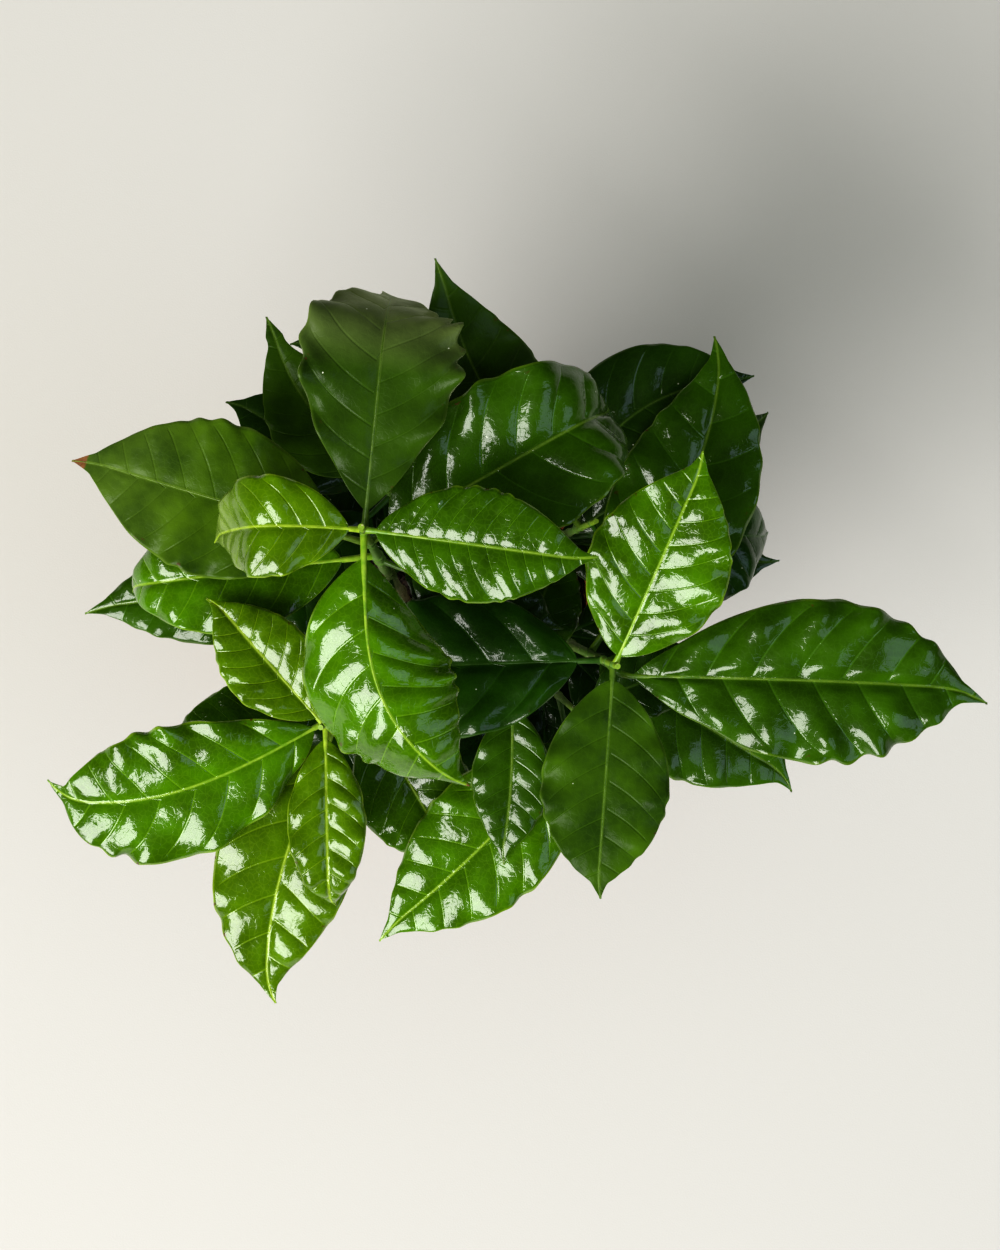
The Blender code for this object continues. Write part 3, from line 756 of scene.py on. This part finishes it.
def leaf_material(tone, gloss):
    """A coffee leaf's upper side: a smooth wax cuticle over a quilted, netted blade. The wax gives
    sharp bright patches, the net of fine veins breaks their edges, and old blades are darker."""
    dark, light, vein_colour, rib_colour, wax, wax_roughness = TONES[tone]
    material, add = new_material(tone + "_coffee_leaf_wax_cuticle")
    place = add("attribute", out="Vector", attribute_name="blade_mm")
    split = add("split", place, out="Y").node.outputs
    veins = add("attribute", out="Vector", attribute_name="veins")
    rank, _, off = add("split", veins).node.outputs
    dry = add("attribute", out="Fac", attribute_name="dry")

    # Side veins, which lie about 12 mm apart and are 0.5 mm wide
    gap = add("absolute", add("subtract", add("fract", rank), 0.5))
    line = add("ease", gap, 0.465, 0.492, 0.0, 1.0)
    groove = add("ease", gap, 0.43, 0.50, 0.0, 1.0)
    edge = add("ease", off, 0.80, 0.97, 1.0, 0.0)
    line = add("multiply", line, edge)
    groove = add("multiply", groove, edge)
    from_rib = add("absolute", split["Y"])
    rib = add("ease", from_rib, 0.2, 0.8, 1.0, 0.0)

    # The net of fine veins: cells about 2.4 mm across
    warp = add("noise", place, 0.35, 2.0, 0.5, out="Color")
    warped = add("vector multiply add", warp, (1.6, 1.6, 0.0), place)
    cells = add("cell edges", warped, 0.42)
    net = add("ease", cells, 0.0, 0.11, 1.0, 0.0)

    # Clouding over 18 mm, and grain of 1.5 mm
    cloud = add("range", add("noise", place, 0.055, 3.0, 0.55), 0.32, 0.68, 0.0, 1.0)
    grain = add("noise", place, 0.7, 3.0, 0.6)
    colour = add("tint", cloud, linear(dark), linear(light))
    for where, share, code in (
        (net, 0.16, vein_colour), (line, 0.50, vein_colour), (rib, 0.6, rib_colour),
    ):
        colour = add("tint", add("multiply", where, share), colour, linear(code))
    # A thin pale line along the margin, in the midrib's colour, is a painted highlight: the bright
    # edge that light shining through the thin margin gives
    rim = add("range", off, 0.965, 0.995, 0.0, 0.5)
    colour = add("tint", rim, colour, linear(rib_colour))

    # Scorched flecks of 1 to 3 mm near the margin, and a dry brown tip where the leaf has one
    fleck = add("range", add("noise", place, 0.30, 2.0, 0.5), 0.68, 0.71, 0.0, 0.9)
    near = add("range", off, 0.86, 0.96, 0.0, 1.0)
    fleck = add("multiply", fleck, near)
    colour = add("tint", fleck, colour, linear("#4A3414"))
    ragged = add("range", add("multiply add", grain, 0.6, dry), 0.62, 0.80, 0.0, 1.0)
    crisp = add("tint", grain, linear("#4A2A16"), linear("#8A5A34"))
    colour = add("tint", ragged, colour, crisp)

    # Dust and painted sheen: a patchy pale olive film over the outer half, which stands partly for
    # dust and partly for a painted sheen where the blade bends away; and pale dust specks of 0.6
    # mm, 12 mm apart
    dust_and_sheen_film = add("attribute", out="Fac", attribute_name="dust")
    patchy = add("range", cloud, 0.0, 1.0, 0.6, 1.2)
    dust_and_sheen_film = add("multiply", dust_and_sheen_film, patchy)
    colour = add("tint", dust_and_sheen_film, colour, linear("#A9AE7C"))
    speck = add("range", add("cells", place, 0.085), 0.018, 0.030, 0.8, 0.0)
    colour = add("tint", speck, colour, linear("#D6D8C8"))

    # Where the wax is worn off, the blade itself is rougher
    gloss += 1.0 - wax
    rough = add("range", grain, 0.3, 0.7, gloss - 0.03, gloss + 0.07)
    rough = add("mix", ragged, rough, 0.75)

    # Relief in millimetres: sunken veins and net, and the wax's own unevenness over 6 mm
    waver = add("noise", place, 0.16, 2.0, 0.5)
    relief = add("multiply add", groove, -0.15, add("multiply", waver, 0.40))
    relief = add("multiply add", grain, 0.034, add("multiply add", net, -0.020, relief))
    return end_material(material, add, colour, rough, 1.40, relief, 0.001, {
        "Specular IOR Level": 0.2, "Coat Weight": wax, "Coat Roughness": wax_roughness,
        "Coat IOR": 1.5, "Sheen Weight": 0.5 * (1.0 - wax), "Sheen Roughness": 0.35,
        "Sheen Tint": linear("#D8E0B8"),
    })


def underside_material():
    """A coffee leaf's underside: paler and duller, with its veins raised."""
    material, add = new_material("coffee_leaf_underside")
    place = add("attribute", out="Vector", attribute_name="blade_mm")
    veins = add("attribute", out="Vector", attribute_name="veins")
    rank = add("split", veins)
    gap = add("absolute", add("subtract", add("fract", rank), 0.5))
    line = add("ease", gap, 0.455, 0.49, 0.0, 1.0)
    cells = add("cell edges", place, 0.42)
    net = add("ease", cells, 0.0, 0.1, 1.0, 0.0)
    cloud = add("noise", place, 0.08, 3.0, 0.55)
    colour = add("tint", cloud, linear("#4E7A34"), linear("#6A9446"))
    for where, share, code in ((net, 0.25, "#86A860"), (line, 0.8, "#9AB870")):
        colour = add("tint", add("multiply", where, share), colour, linear(code))
    relief = add("multiply add", net, 0.05, add("multiply", line, 0.25))
    return end_material(material, add, colour, 0.48, 1.45, relief, 0.001)


def stalk_material(tone):
    """Petiole and midrib: smooth green flesh, yellower on young leaves, with fine ridges."""
    material, add = new_material(tone + "_coffee_petiole")
    vein_colour, rib_colour = TONES[tone][2:4]
    place = add("coordinate", out="Object")
    cloud = add("range", add("noise", place, 300.0, 2.0, 0.5), 0.35, 0.65, 0.0, 1.0)
    colour = add("tint", cloud, linear(vein_colour), linear(rib_colour))
    fine = add("noise", place, 1600.0, 2.0, 0.5)
    return end_material(material, add, colour, 0.36, 1.46, fine, 0.00008)


def bark_material():
    """A seedling's stem: grey brown cork with pale lenticels at its foot, green higher up and
    yellow green at its growing tip."""
    material, add = new_material("young_coffee_bark")
    place = add("coordinate", out="Object")
    height = add("split", place, out="Z")
    long_drawn = add("ShaderNodeMapping", place, named={"Scale": (1.0, 1.0, 0.16)})
    ridge = add("noise", long_drawn, 700.0, 4.0, 0.6)
    patch = add("noise", place, 60.0, 2.0, 0.5)
    cork = add("tint", ridge, linear("#5A4A32"), linear("#97876A"))
    green = add("tint", ridge, linear("#4A6A26"), linear("#6F9440"))
    edge = add("multiply add", patch, 0.08, height)
    young = add("range", edge, 0.175, 0.285, 0.0, 1.0)
    colour = add("tint", young, cork, green)
    risen = add("attribute", out="Fac", attribute_name="risen")
    bud = add("range", risen, 0.84, 0.97, 0.0, 1.0)
    colour = add("tint", bud, colour, linear("#7C9A2C"))
    spots = add("ShaderNodeMapping", place, named={"Scale": (1.0, 1.0, 0.45)})
    lenticel = add("range", add("cells", spots, 420.0), 0.10, 0.18, 0.7, 0.0)
    colour = add("tint", lenticel, colour, linear("#B4A888"))
    relief = add("multiply add", lenticel, 0.35, ridge)
    rough = add("range", young, 0.0, 1.0, 0.85, 0.5)
    return end_material(material, add, colour, rough, 1.45, relief, 0.0003)


def clay_material(clay):
    """Thrown terracotta: fired bare clay, matt and gritty, with pale salts that bloom near the
    foot and the rim and a darker damp band at the height of the compost."""
    material, add = new_material("thrown_terracotta")
    place = add("coordinate", out="Object")
    height = add("split", place, out="Z")
    patch = add("range", add("noise", place, 28.0, 4.0, 0.6), 0.3, 0.7, 0.0, 1.0)
    body = add("tint", patch, linear("#A85C38"), (*clay, 1.0))
    turned = add("ShaderNodeMapping", place, named={"Scale": (0.08, 0.08, 1.0)})
    bands = add("range", add("noise", turned, 320.0, 3.0, 0.6), 0.35, 0.65, 0.0, 0.35)
    body = add("tint", bands, body, linear("#D08F66"))
    grit = add("noise", place, 1500.0, 2.0, 0.6)
    speck = add("range", grit, 0.62, 0.70, 0.0, 0.55)
    body = add("tint", speck, body, linear("#7A3E26"))
    damp = add("multiply", add("ease", height, 0.060, 0.092, 0.0, 0.30), patch)
    body = add("tint", damp, body, linear("#86482C"))
    salts = add("noise", place, 75.0, 5.0, 0.65)
    foot = add("range", height, 0.0, 0.045, 0.16, 0.0)
    rim = add("range", height, 0.092, 0.120, 0.0, 0.10)
    salts = add("range", add("add", add("add", salts, foot), rim), 0.58, 0.74, 0.0, 0.62)
    body = add("tint", salts, body, linear("#DCCAB6"))
    relief = add("multiply add", bands, 0.5, grit)
    return end_material(material, add, body, 0.86, 1.5, relief, 0.00018)


def grain_material(name, dark, light, size, roughness):
    """One part of the potting mix, matt, with light and dark fibres or pores of its own size."""
    material, add = new_material(name)
    place = add("coordinate", out="Object")
    fibre = add("range", add("noise", place, 1 / size, 4.0, 0.65), 0.3, 0.7, 0.0, 1.0)
    colour = add("tint", fibre, linear(dark), linear(light))
    return end_material(material, add, colour, roughness, 1.45, fibre, size * 0.2)


def paper_material(colour):
    """The stage: a sweep of matt off-white paper, with a faint tooth."""
    material, add = new_material("matt_backdrop_paper")
    place = add("coordinate", out="Object")
    tooth = add("noise", place, 1200.0, 2.0, 0.5)
    return end_material(material, add, (*colour, 1.0), 0.9, 1.5, tooth, 0.00005)


# ---------------------------------------------------------------- meshes

def new_object(name, mesh):
    thing = bpy.data.objects.new(name, mesh)
    bpy.context.scene.collection.objects.link(thing)
    return thing


def set_inputs(modifier, values):
    """Sets a tree's inputs by their sockets' identifiers."""
    for item in modifier.node_group.interface.items_tree:
        if item.item_type == "SOCKET" and item.in_out == "INPUT" and item.name in values:
            modifier[item.identifier] = values[item.name]


def grown(name, tree, values, base=None, thickness=0.0):
    """The plain mesh that a tree makes with these values, thickened where that is wanted."""
    source = new_object("growing", base or bpy.data.meshes.new("growing"))
    modifier = source.modifiers.new("grow", "NODES")
    modifier.node_group = tree
    set_inputs(modifier, values)
    if thickness:
        wall = source.modifiers.new("thickness", "SOLIDIFY")
        wall.thickness = thickness
        wall.offset = -1.0
        wall.material_offset = 1
        wall.material_offset_rim = 1
    graph = bpy.context.evaluated_depsgraph_get()
    mesh = bpy.data.meshes.new_from_object(source.evaluated_get(graph))
    mesh.name = name
    left = source.data
    bpy.data.objects.remove(source, do_unlink=True)
    bpy.data.meshes.remove(left)
    return mesh


def joined(name, meshes):
    """One object of several meshes, which keeps their materials and attributes."""
    things = [new_object(name, mesh) for mesh in meshes]
    with bpy.context.temp_override(
        active_object=things[0], object=things[0],
        selected_objects=things, selected_editable_objects=things,
    ):
        bpy.ops.object.join()
    things[0].name = name
    things[0].data.name = name
    return things[0]


def inner_radius(height):
    """The radius of the pot's hollow at a height."""
    taper = (POT_NECK_RADIUS - POT_FOOT_RADIUS) / POT_NECK
    return POT_FOOT_RADIUS + taper * height - POT_WALL


def stem_point(seedling, height):
    """The stem's centre at a height in metres."""
    share = max(0.0, (height - SOIL_TOP) / (seedling.bud[2] / 1000 - SOIL_TOP))
    out = share ** seedling.curve
    x, y = (a + (b - a) * out for a, b in zip(seedling.foot, seedling.bud))
    return Vector((x / 1000, y / 1000, height))


def stem_radius(seedling, height):
    share = (height - SOIL_TOP) / (seedling.bud[2] / 1000 - SOIL_TOP)
    plain = STEM_FOOT_RADIUS + (STEM_TIP_RADIUS - STEM_FOOT_RADIUS) * share
    flare = ROOT_FLARE * math.exp(-(height - SOIL_TOP) / ROOT_FLARE_HEIGHT)
    return plain * seedling.stoutness + flare


def line_values(seedling, leaf):
    """A leaf's line in the units of the trees."""
    start = leaf.azimuth if leaf.petiole_azimuth is None else leaf.petiole_azimuth
    return {
        **leaf_values(leaf, LINE_FIELDS),
        "Stem Point": stem_point(seedling, leaf.height / 1000),
        "Petiole Azimuth": math.radians(start),
        "Steps": round(leaf.length / 1000 / ROW_SPACING),
    }


def closed_mesh(name, work, rings):
    """A mesh skinned over rings of vertices, of which a ring of one is a pole."""
    sides = max(len(ring) for ring in rings)
    for k in range(sides):
        after = (k + 1) % sides
        for low, high in zip(rings, rings[1:]):
            if len(low) == 1:
                work.faces.new((low[0], high[k], high[after]))
            elif len(high) == 1:
                work.faces.new((low[k], high[0], low[after]))
            else:
                work.faces.new((low[k], high[k], high[after], low[after]))
    if len(rings[-1]) > 1:
        work.faces.new(list(reversed(rings[-1])))
    bmesh.ops.recalc_face_normals(work, faces=work.faces)
    mesh = bpy.data.meshes.new(name)
    work.to_mesh(mesh)
    work.free()
    return mesh


def around(k, sides):
    """The direction of one corner of a ring, as x and y."""
    angle = 2 * math.pi * k / sides
    return math.cos(angle), math.sin(angle)


def pot_profile():
    """The pot's outline from the middle of its underside to the middle of its floor, as radius
    and height, with corners rounded by quadratic arcs and points no more than a step apart."""
    corners = [Vector(corner) for corner in (
        (0, 0), (POT_FOOT_RADIUS, 0), (POT_NECK_RADIUS, POT_NECK), (POT_RIM_RADIUS, POT_NECK),
        (POT_RIM_RADIUS, POT_HEIGHT), (inner_radius(POT_HEIGHT), POT_HEIGHT),
        (inner_radius(POT_FLOOR), POT_FLOOR), (0, POT_FLOOR),
    )]
    rounding = (0.0022, 0.0012, 0.0020, 0.0026, 0.0024, 0.0060)
    rounded = []
    for before, at, after, radius in zip(corners, corners[1:], corners[2:], rounding):
        start = at + (before - at).normalized() * radius
        end = at + (after - at).normalized() * radius
        for t in (k / ARC_STEPS for k in range(ARC_STEPS + 1)):
            rounded.append(start * (1 - t) ** 2 + at * 2 * t * (1 - t) + end * t ** 2)
    profile = [corners[0]]
    for point in (*rounded, corners[-1]):
        start = profile[-1]
        pieces = max(1, round((point - start).length / PROFILE_STEP))
        profile += [start.lerp(point, k / pieces) for k in range(1, pieces + 1)]
    return profile


def pot_mesh(sides, groove):
    """The pot turned on its axis, with rounded edges and the faint grooves of throwing."""
    work = bmesh.new()
    rings = []
    for radius, height in pot_profile():
        up = Vector((0, 0, height))
        if radius == 0:
            rings.append([work.verts.new(up)])
            continue
        clear = min(1.0, height / 0.004, abs(POT_HEIGHT - height) / 0.003)
        ring = []
        for k in range(sides):
            spot = Vector((*around(k, sides), 0))
            wound = (height - GROOVE_PITCH * k / sides) / GROOVE_PITCH
            depth = groove * math.sin(2 * math.pi * wound)
            depth += groove * 1.5 * noise.noise(spot * 1.5 + Vector((0, 0, height * 160)))
            ring.append(work.verts.new(spot * (radius - abs(depth) * clear) + up))
        rings.append(ring)
    mesh = closed_mesh("clay_pot", work, rings)
    for face in mesh.polygons:
        face.use_smooth = True
    return mesh


def compost_mesh(ring_count, sides):
    """The compost as one closed body: an uneven top, sunk a little at the wall, and the filling
    below it."""
    wall = inner_radius(SOIL_TOP) - SOIL_GAP
    low = POT_FLOOR + SOIL_GAP
    work = bmesh.new()
    rings = [[work.verts.new((0, 0, SOIL_TOP))]]
    for step in range(1, ring_count + 1):
        share = step / ring_count
        sunk = 0.0030 * max(0.0, share - 0.86) / 0.14
        ring = []
        for k in range(sides):
            x, y = (wall * share * part for part in around(k, sides))
            rough = noise.noise(Vector((x, y, 0)) * 60) * 0.0016
            rough += noise.noise(Vector((x, y, 4)) * 240) * 0.0008
            ring.append(work.verts.new((x, y, SOIL_TOP + min(rough, 0.0012) - sunk)))
        rings.append(ring)
    base = inner_radius(low) - SOIL_GAP
    corners = [around(k, sides) for k in range(sides)]
    rings.append([work.verts.new((base * x, base * y, low)) for x, y in corners])
    return closed_mesh("compost", work, rings)


# ---------------------------------------------------------------- settings

class PotSettings(bpy.types.PropertyGroup):
    sides: bpy.props.IntProperty(
        name="Sides", description="Faces round the pot", default=192, min=48, max=512,
    )
    groove: bpy.props.FloatProperty(
        name="Throwing grooves", description="Depth of the grooves that throwing leaves",
        default=0.00012, unit="LENGTH", precision=5,
    )
    clay: bpy.props.FloatVectorProperty(
        name="Clay", description="Colour of the fired clay", subtype="COLOR", size=3,
        default=linear("#BE7148")[:3], min=0.0, max=1.0,
    )


class CompostSettings(bpy.types.PropertyGroup):
    chips: bpy.props.FloatProperty(
        name="Bark chips", description="Bark chips to a square metre", default=26000.0,
    )
    crumbs: bpy.props.FloatProperty(
        name="Crumbs", description="Crumbs of peat to a square metre", default=150000.0,
    )
    grains: bpy.props.FloatProperty(
        name="Perlite", description="Grains of perlite to a square metre", default=7000.0,
    )
    fibres: bpy.props.FloatProperty(
        name="Fibres", description="Loose fibres to a square metre", default=14000.0,
    )


class StemSettings(bpy.types.PropertyGroup):
    relief: bpy.props.FloatProperty(
        name="Bark relief", description="Height of the bark's ridges", default=0.00025,
        unit="LENGTH", precision=5,
    )
    sides: bpy.props.IntProperty(
        name="Sides", description="Faces round a stem", default=20, min=8, max=64,
    )


class LeafSettings(bpy.types.PropertyGroup):
    thickness: bpy.props.FloatProperty(
        name="Blade thickness", description="Thickness of a leaf's blade", default=0.00045,
        unit="LENGTH", precision=5,
    )
    crumple: bpy.props.FloatProperty(
        name="Crumpling", description="How far a blade is uneven over several panels",
        default=0.008, unit="LENGTH", precision=5,
    )
    quilting: bpy.props.FloatProperty(
        name="Quilting", description="Multiplies the bulge of the panels between side veins",
        default=1.0, min=0.0, max=3.0,
    )
    gloss: bpy.props.FloatProperty(
        name="Wax roughness", description="Roughness of the wax on the upper side",
        default=0.24, min=0.05, max=1.0,
    )
    rib_radius: bpy.props.FloatProperty(
        name="Midrib radius", description="Radius of a full-grown leaf's midrib near its base",
        default=0.0010, unit="LENGTH", precision=5,
    )


class StageSettings(bpy.types.PropertyGroup):
    paper: bpy.props.FloatVectorProperty(
        name="Backdrop", description="Colour of the backdrop paper", subtype="COLOR", size=3,
        default=linear("#BAB8B5")[:3], min=0.0, max=1.0,
    )
    key_power: bpy.props.FloatProperty(
        name="Window light", description="Power of the large soft light at the lower left",
        default=232.0, unit="POWER",
    )
    fill_power: bpy.props.FloatProperty(
        name="Sky light", description="Power of the cool light at the right",
        default=6.0, unit="POWER",
    )
    ceiling_power: bpy.props.FloatProperty(
        name="Ceiling", description="Power of the broad soft light overhead",
        default=10.0, unit="POWER",
    )
    ambient: bpy.props.FloatProperty(
        name="Room light", description="Strength of the pale light from all round",
        default=0.33, min=0.0,
    )


class PlantSettings(bpy.types.PropertyGroup):
    pot: bpy.props.PointerProperty(type=PotSettings)
    compost: bpy.props.PointerProperty(type=CompostSettings)
    stems: bpy.props.PointerProperty(type=StemSettings)
    leaves: bpy.props.PointerProperty(type=LeafSettings)
    stage: bpy.props.PointerProperty(type=StageSettings)


# ---------------------------------------------------------------- operators

class COFFEE_OT_pot(bpy.types.Operator):
    """Turn the clay pot"""

    bl_idname = "coffee.pot"
    bl_label = "Clay pot"

    def execute(self, context):
        settings = context.scene.coffee_plant.pot
        pot = new_object("clay_pot", pot_mesh(settings.sides, settings.groove))
        pot.data.materials.append(clay_material(settings.clay))
        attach(pot, "root")
        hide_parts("pot")
        return {"FINISHED"}


class COFFEE_OT_compost(bpy.types.Operator):
    """Fill the pot with potting compost"""

    bl_idname = "coffee.compost"
    bl_label = "Compost"

    def execute(self, context):
        settings = context.scene.coffee_plant.compost
        mesh = grown("potting_compost", compost_tree(), {
            "Chips": settings.chips,
            "Crumbs": settings.crumbs,
            "Grains": settings.grains,
            "Fibres": settings.fibres,
            # Moist peat, matt, with brown fibres under a millimetre wide: nearly black, partly its
            # own colour and partly painted shade for the deep shade under the leaves
            "Compost": grain_material("moist_peat", "#100B07", "#2C2017", 0.0009, 0.92),
            # Pine bark chips, layers about 1.5 mm thick: darkened from red brown to near black as
            # painted shade for the deep shade under the leaves
            "Bark Chip": grain_material("pine_bark_chip", "#1C140D", "#3A2C20", 0.0015, 0.85),
            # Perlite: puffed volcanic glass, chalk white with pores of half a millimetre
            "Perlite": grain_material("perlite", "#B8B3A8", "#F0ECE2", 0.0005, 0.8),
            # Coir: pale tan husk threads
            "Fibre": grain_material("coir_fibre", "#5A4026", "#8E6C44", 0.0010, 0.8),
        }, base=compost_mesh(36, 128))
        compost = new_object("potting_compost", mesh)
        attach(compost, "root")
        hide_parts("soil")
        return {"FINISHED"}


class COFFEE_OT_stems(bpy.types.Operator):
    """Grow the seven stems"""

    bl_idname = "coffee.stems"
    bl_label = "Stems"

    def execute(self, context):
        settings = context.scene.coffee_plant.stems
        tree, bark = stem_tree(), bark_material()
        for seed, seedling in enumerate(SEEDLINGS):
            heights = [leaf.height / 1000 for leaf in seedling.leaves]
            bases = bpy.data.meshes.new("leaf_bases")
            bases.from_pydata([stem_point(seedling, height) for height in heights], [], [])
            reach = bases.attributes.new("reach", "FLOAT", "POINT")
            reach.data.foreach_set("value", [stem_radius(seedling, height) for height in heights])
            foot, bud = seedling.foot, seedling.bud
            mesh = grown("stem_" + seedling.name, tree, {
                "Foot": Vector((foot[0] / 1000, foot[1] / 1000, SOIL_TOP)),
                "Bud": Vector(bud) / 1000,
                "Curve": float(seedling.curve),
                "Stoutness": float(seedling.stoutness),
                "Relief": settings.relief,
                "Rows": round(bud[2] - SOIL_TOP * 1000),
                "Sides": settings.sides,
                "Seed": float(seed),
                "Material": bark,
            }, base=bases)
            stem = new_object("bark_" + seedling.name, mesh)
            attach(stem, "root")
            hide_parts("stem_" + seedling.name)
        return {"FINISHED"}


class COFFEE_OT_blades(bpy.types.Operator):
    """Grow the leaves' blades"""

    bl_idname = "coffee.blades"
    bl_label = "Leaf blades"

    def execute(self, context):
        settings = context.scene.coffee_plant.leaves
        tree = leaf_blade_tree()
        uppers = {tone: leaf_material(tone, settings.gloss) for tone in TONES}
        underside = underside_material()
        for number, seedling in enumerate(SEEDLINGS):
            meshes = []
            for order, leaf in enumerate(seedling.leaves):
                values = line_values(seedling, leaf) | leaf_values(leaf, BLADE_FIELDS)
                values["Quilt"] *= settings.quilting
                values |= {
                    "Phase": PHASE_STEP * order,
                    "Crumple": settings.crumple,
                    "Seed": 40.0 * number + 3.7 * order,
                    "Columns": round(leaf.width / 1000 / COLUMN_SPACING / 2) * 2 + 1,
                    "Material": uppers[leaf.tone],
                }
                mesh = grown("blade", tree, values, thickness=settings.thickness)
                mesh.materials.append(underside)
                meshes.append(mesh)
            blades = joined("blades_" + seedling.name, meshes)
            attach(blades, "root")
            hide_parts("foliage_" + seedling.name)
        return {"FINISHED"}


class COFFEE_OT_stalks(bpy.types.Operator):
    """Grow the petioles and midribs"""

    bl_idname = "coffee.stalks"
    bl_label = "Petioles and midribs"

    def execute(self, context):
        settings = context.scene.coffee_plant.leaves
        tree = leaf_stalk_tree()
        greens = {tone: stalk_material(tone) for tone in TONES}
        for seedling in SEEDLINGS:
            meshes = []
            for leaf in seedling.leaves:
                values = line_values(seedling, leaf) | {
                    "Rib Radius": settings.rib_radius * min(1.0, 0.4 + leaf.length / 150),
                    "Hook": leaf.hook / 1000,
                    "Material": greens[leaf.tone],
                }
                meshes.append(grown("stalk", tree, values))
            stalks = joined("petioles_" + seedling.name, meshes)
            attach(stalks, "root")
        return {"FINISHED"}


class COFFEE_OT_stage(bpy.types.Operator):
    """Set up the backdrop, the lights and the camera"""

    bl_idname = "coffee.stage"
    bl_label = "Stage"

    def execute(self, context):
        settings = context.scene.coffee_plant.stage
        scene = context.scene
        mesh = bpy.data.meshes.new("backdrop")
        # So wide that no view shows its corners near the plant
        reach = 12.0
        mesh.from_pydata(
            [(-reach, -reach, 0), (reach, -reach, 0), (reach, reach, 0), (-reach, reach, 0)],
            [], [(0, 1, 2, 3)],
        )
        backdrop = new_object("backdrop", mesh)
        mesh.materials.append(paper_material(settings.paper))

        # Name, place, size in metres, power, colour, whether gloss shows it; all look at the crown
        lights = (
            ("window_light", (-2.10, -2.38, 2.98), (3.10, 2.85), settings.key_power,
             "#FFFDFB", True),
            ("sky_light", (1.40, -0.40, 1.50), (1.20, 1.20), settings.fill_power,
             "#CFE0FF", True),
            ("ceiling", (0.0, 0.0, 2.60), (2.50, 2.50), settings.ceiling_power,
             "#F6F7EC", False),
        )
        crown = Vector((0.0, -0.01, 0.25))
        for name, place, size, power, colour, glossy in lights:
            data = bpy.data.lights.new(name, "AREA")
            data.shape = "RECTANGLE"
            data.size, data.size_y = size
            data.energy = power
            data.color = linear(colour)[:3]
            light = bpy.data.objects.new(name, data)
            light.location = place
            light.rotation_mode = "QUATERNION"
            light.rotation_quaternion = (crown - Vector(place)).to_track_quat("-Z", "Y")
            light.visible_camera = False
            light.visible_glossy = glossy
            scene.collection.objects.link(light)
        world = bpy.data.worlds.new("room")
        world.use_nodes = True
        world.node_tree.nodes.clear()
        room = add_node(world.node_tree, "ShaderNodeBackground", linear("#F4F7E8"),
                        settings.ambient)
        add_node(world.node_tree, "ShaderNodeOutputWorld", room)
        world.cycles_visibility.glossy = False
        scene.world = world
        scene.view_settings.view_transform = "Standard"
        scene.view_settings.look = "High Contrast"

        # Straight above the crown: 75 mm on a 36 mm frame, from 1.3 m over the floor
        data = bpy.data.cameras.new("from_above")
        data.lens = 75.0
        data.sensor_width = 36.0
        data.clip_start, data.clip_end = 0.05, 20.0
        camera = bpy.data.objects.new("from_above", data)
        camera.location = (0.014, -0.011, 1.30)
        scene.collection.objects.link(camera)
        scene.camera = camera
        return {"FINISHED"}


class COFFEE_PT_panel(bpy.types.Panel):
    """Lists the pieces of the plant with their settings"""

    bl_idname = "COFFEE_PT_panel"
    bl_label = "Potted coffee plant"
    bl_space_type = "VIEW_3D"
    bl_region_type = "UI"
    bl_category = "Coffee plant"

    def draw(self, context):
        settings = context.scene.coffee_plant
        for operators, group in (
            (("coffee.pot",), settings.pot),
            (("coffee.compost",), settings.compost),
            (("coffee.stems",), settings.stems),
            (("coffee.blades", "coffee.stalks"), settings.leaves),
            (("coffee.stage",), settings.stage),
        ):
            box = self.layout.box()
            for operator in operators:
                box.operator(operator)
            for key in group.bl_rna.properties.keys():
                if key not in ("rna_type", "name"):
                    box.prop(group, key)


CLASSES = (
    PotSettings, CompostSettings, StemSettings, LeafSettings, StageSettings, PlantSettings,
    COFFEE_OT_pot, COFFEE_OT_compost, COFFEE_OT_stems, COFFEE_OT_blades, COFFEE_OT_stalks,
    COFFEE_OT_stage, COFFEE_PT_panel,
)


def register():
    for kind in CLASSES:
        bpy.utils.register_class(kind)
    bpy.types.Scene.coffee_plant = bpy.props.PointerProperty(type=PlantSettings)


def unregister():
    del bpy.types.Scene.coffee_plant
    for kind in reversed(CLASSES):
        bpy.utils.unregister_class(kind)


def main():
    register()
    bpy.ops.coffee.pot()
    bpy.ops.coffee.compost()
    bpy.ops.coffee.stems()
    bpy.ops.coffee.blades()
    bpy.ops.coffee.stalks()
    bpy.ops.coffee.stage()


if __name__ == "__main__":
    main()
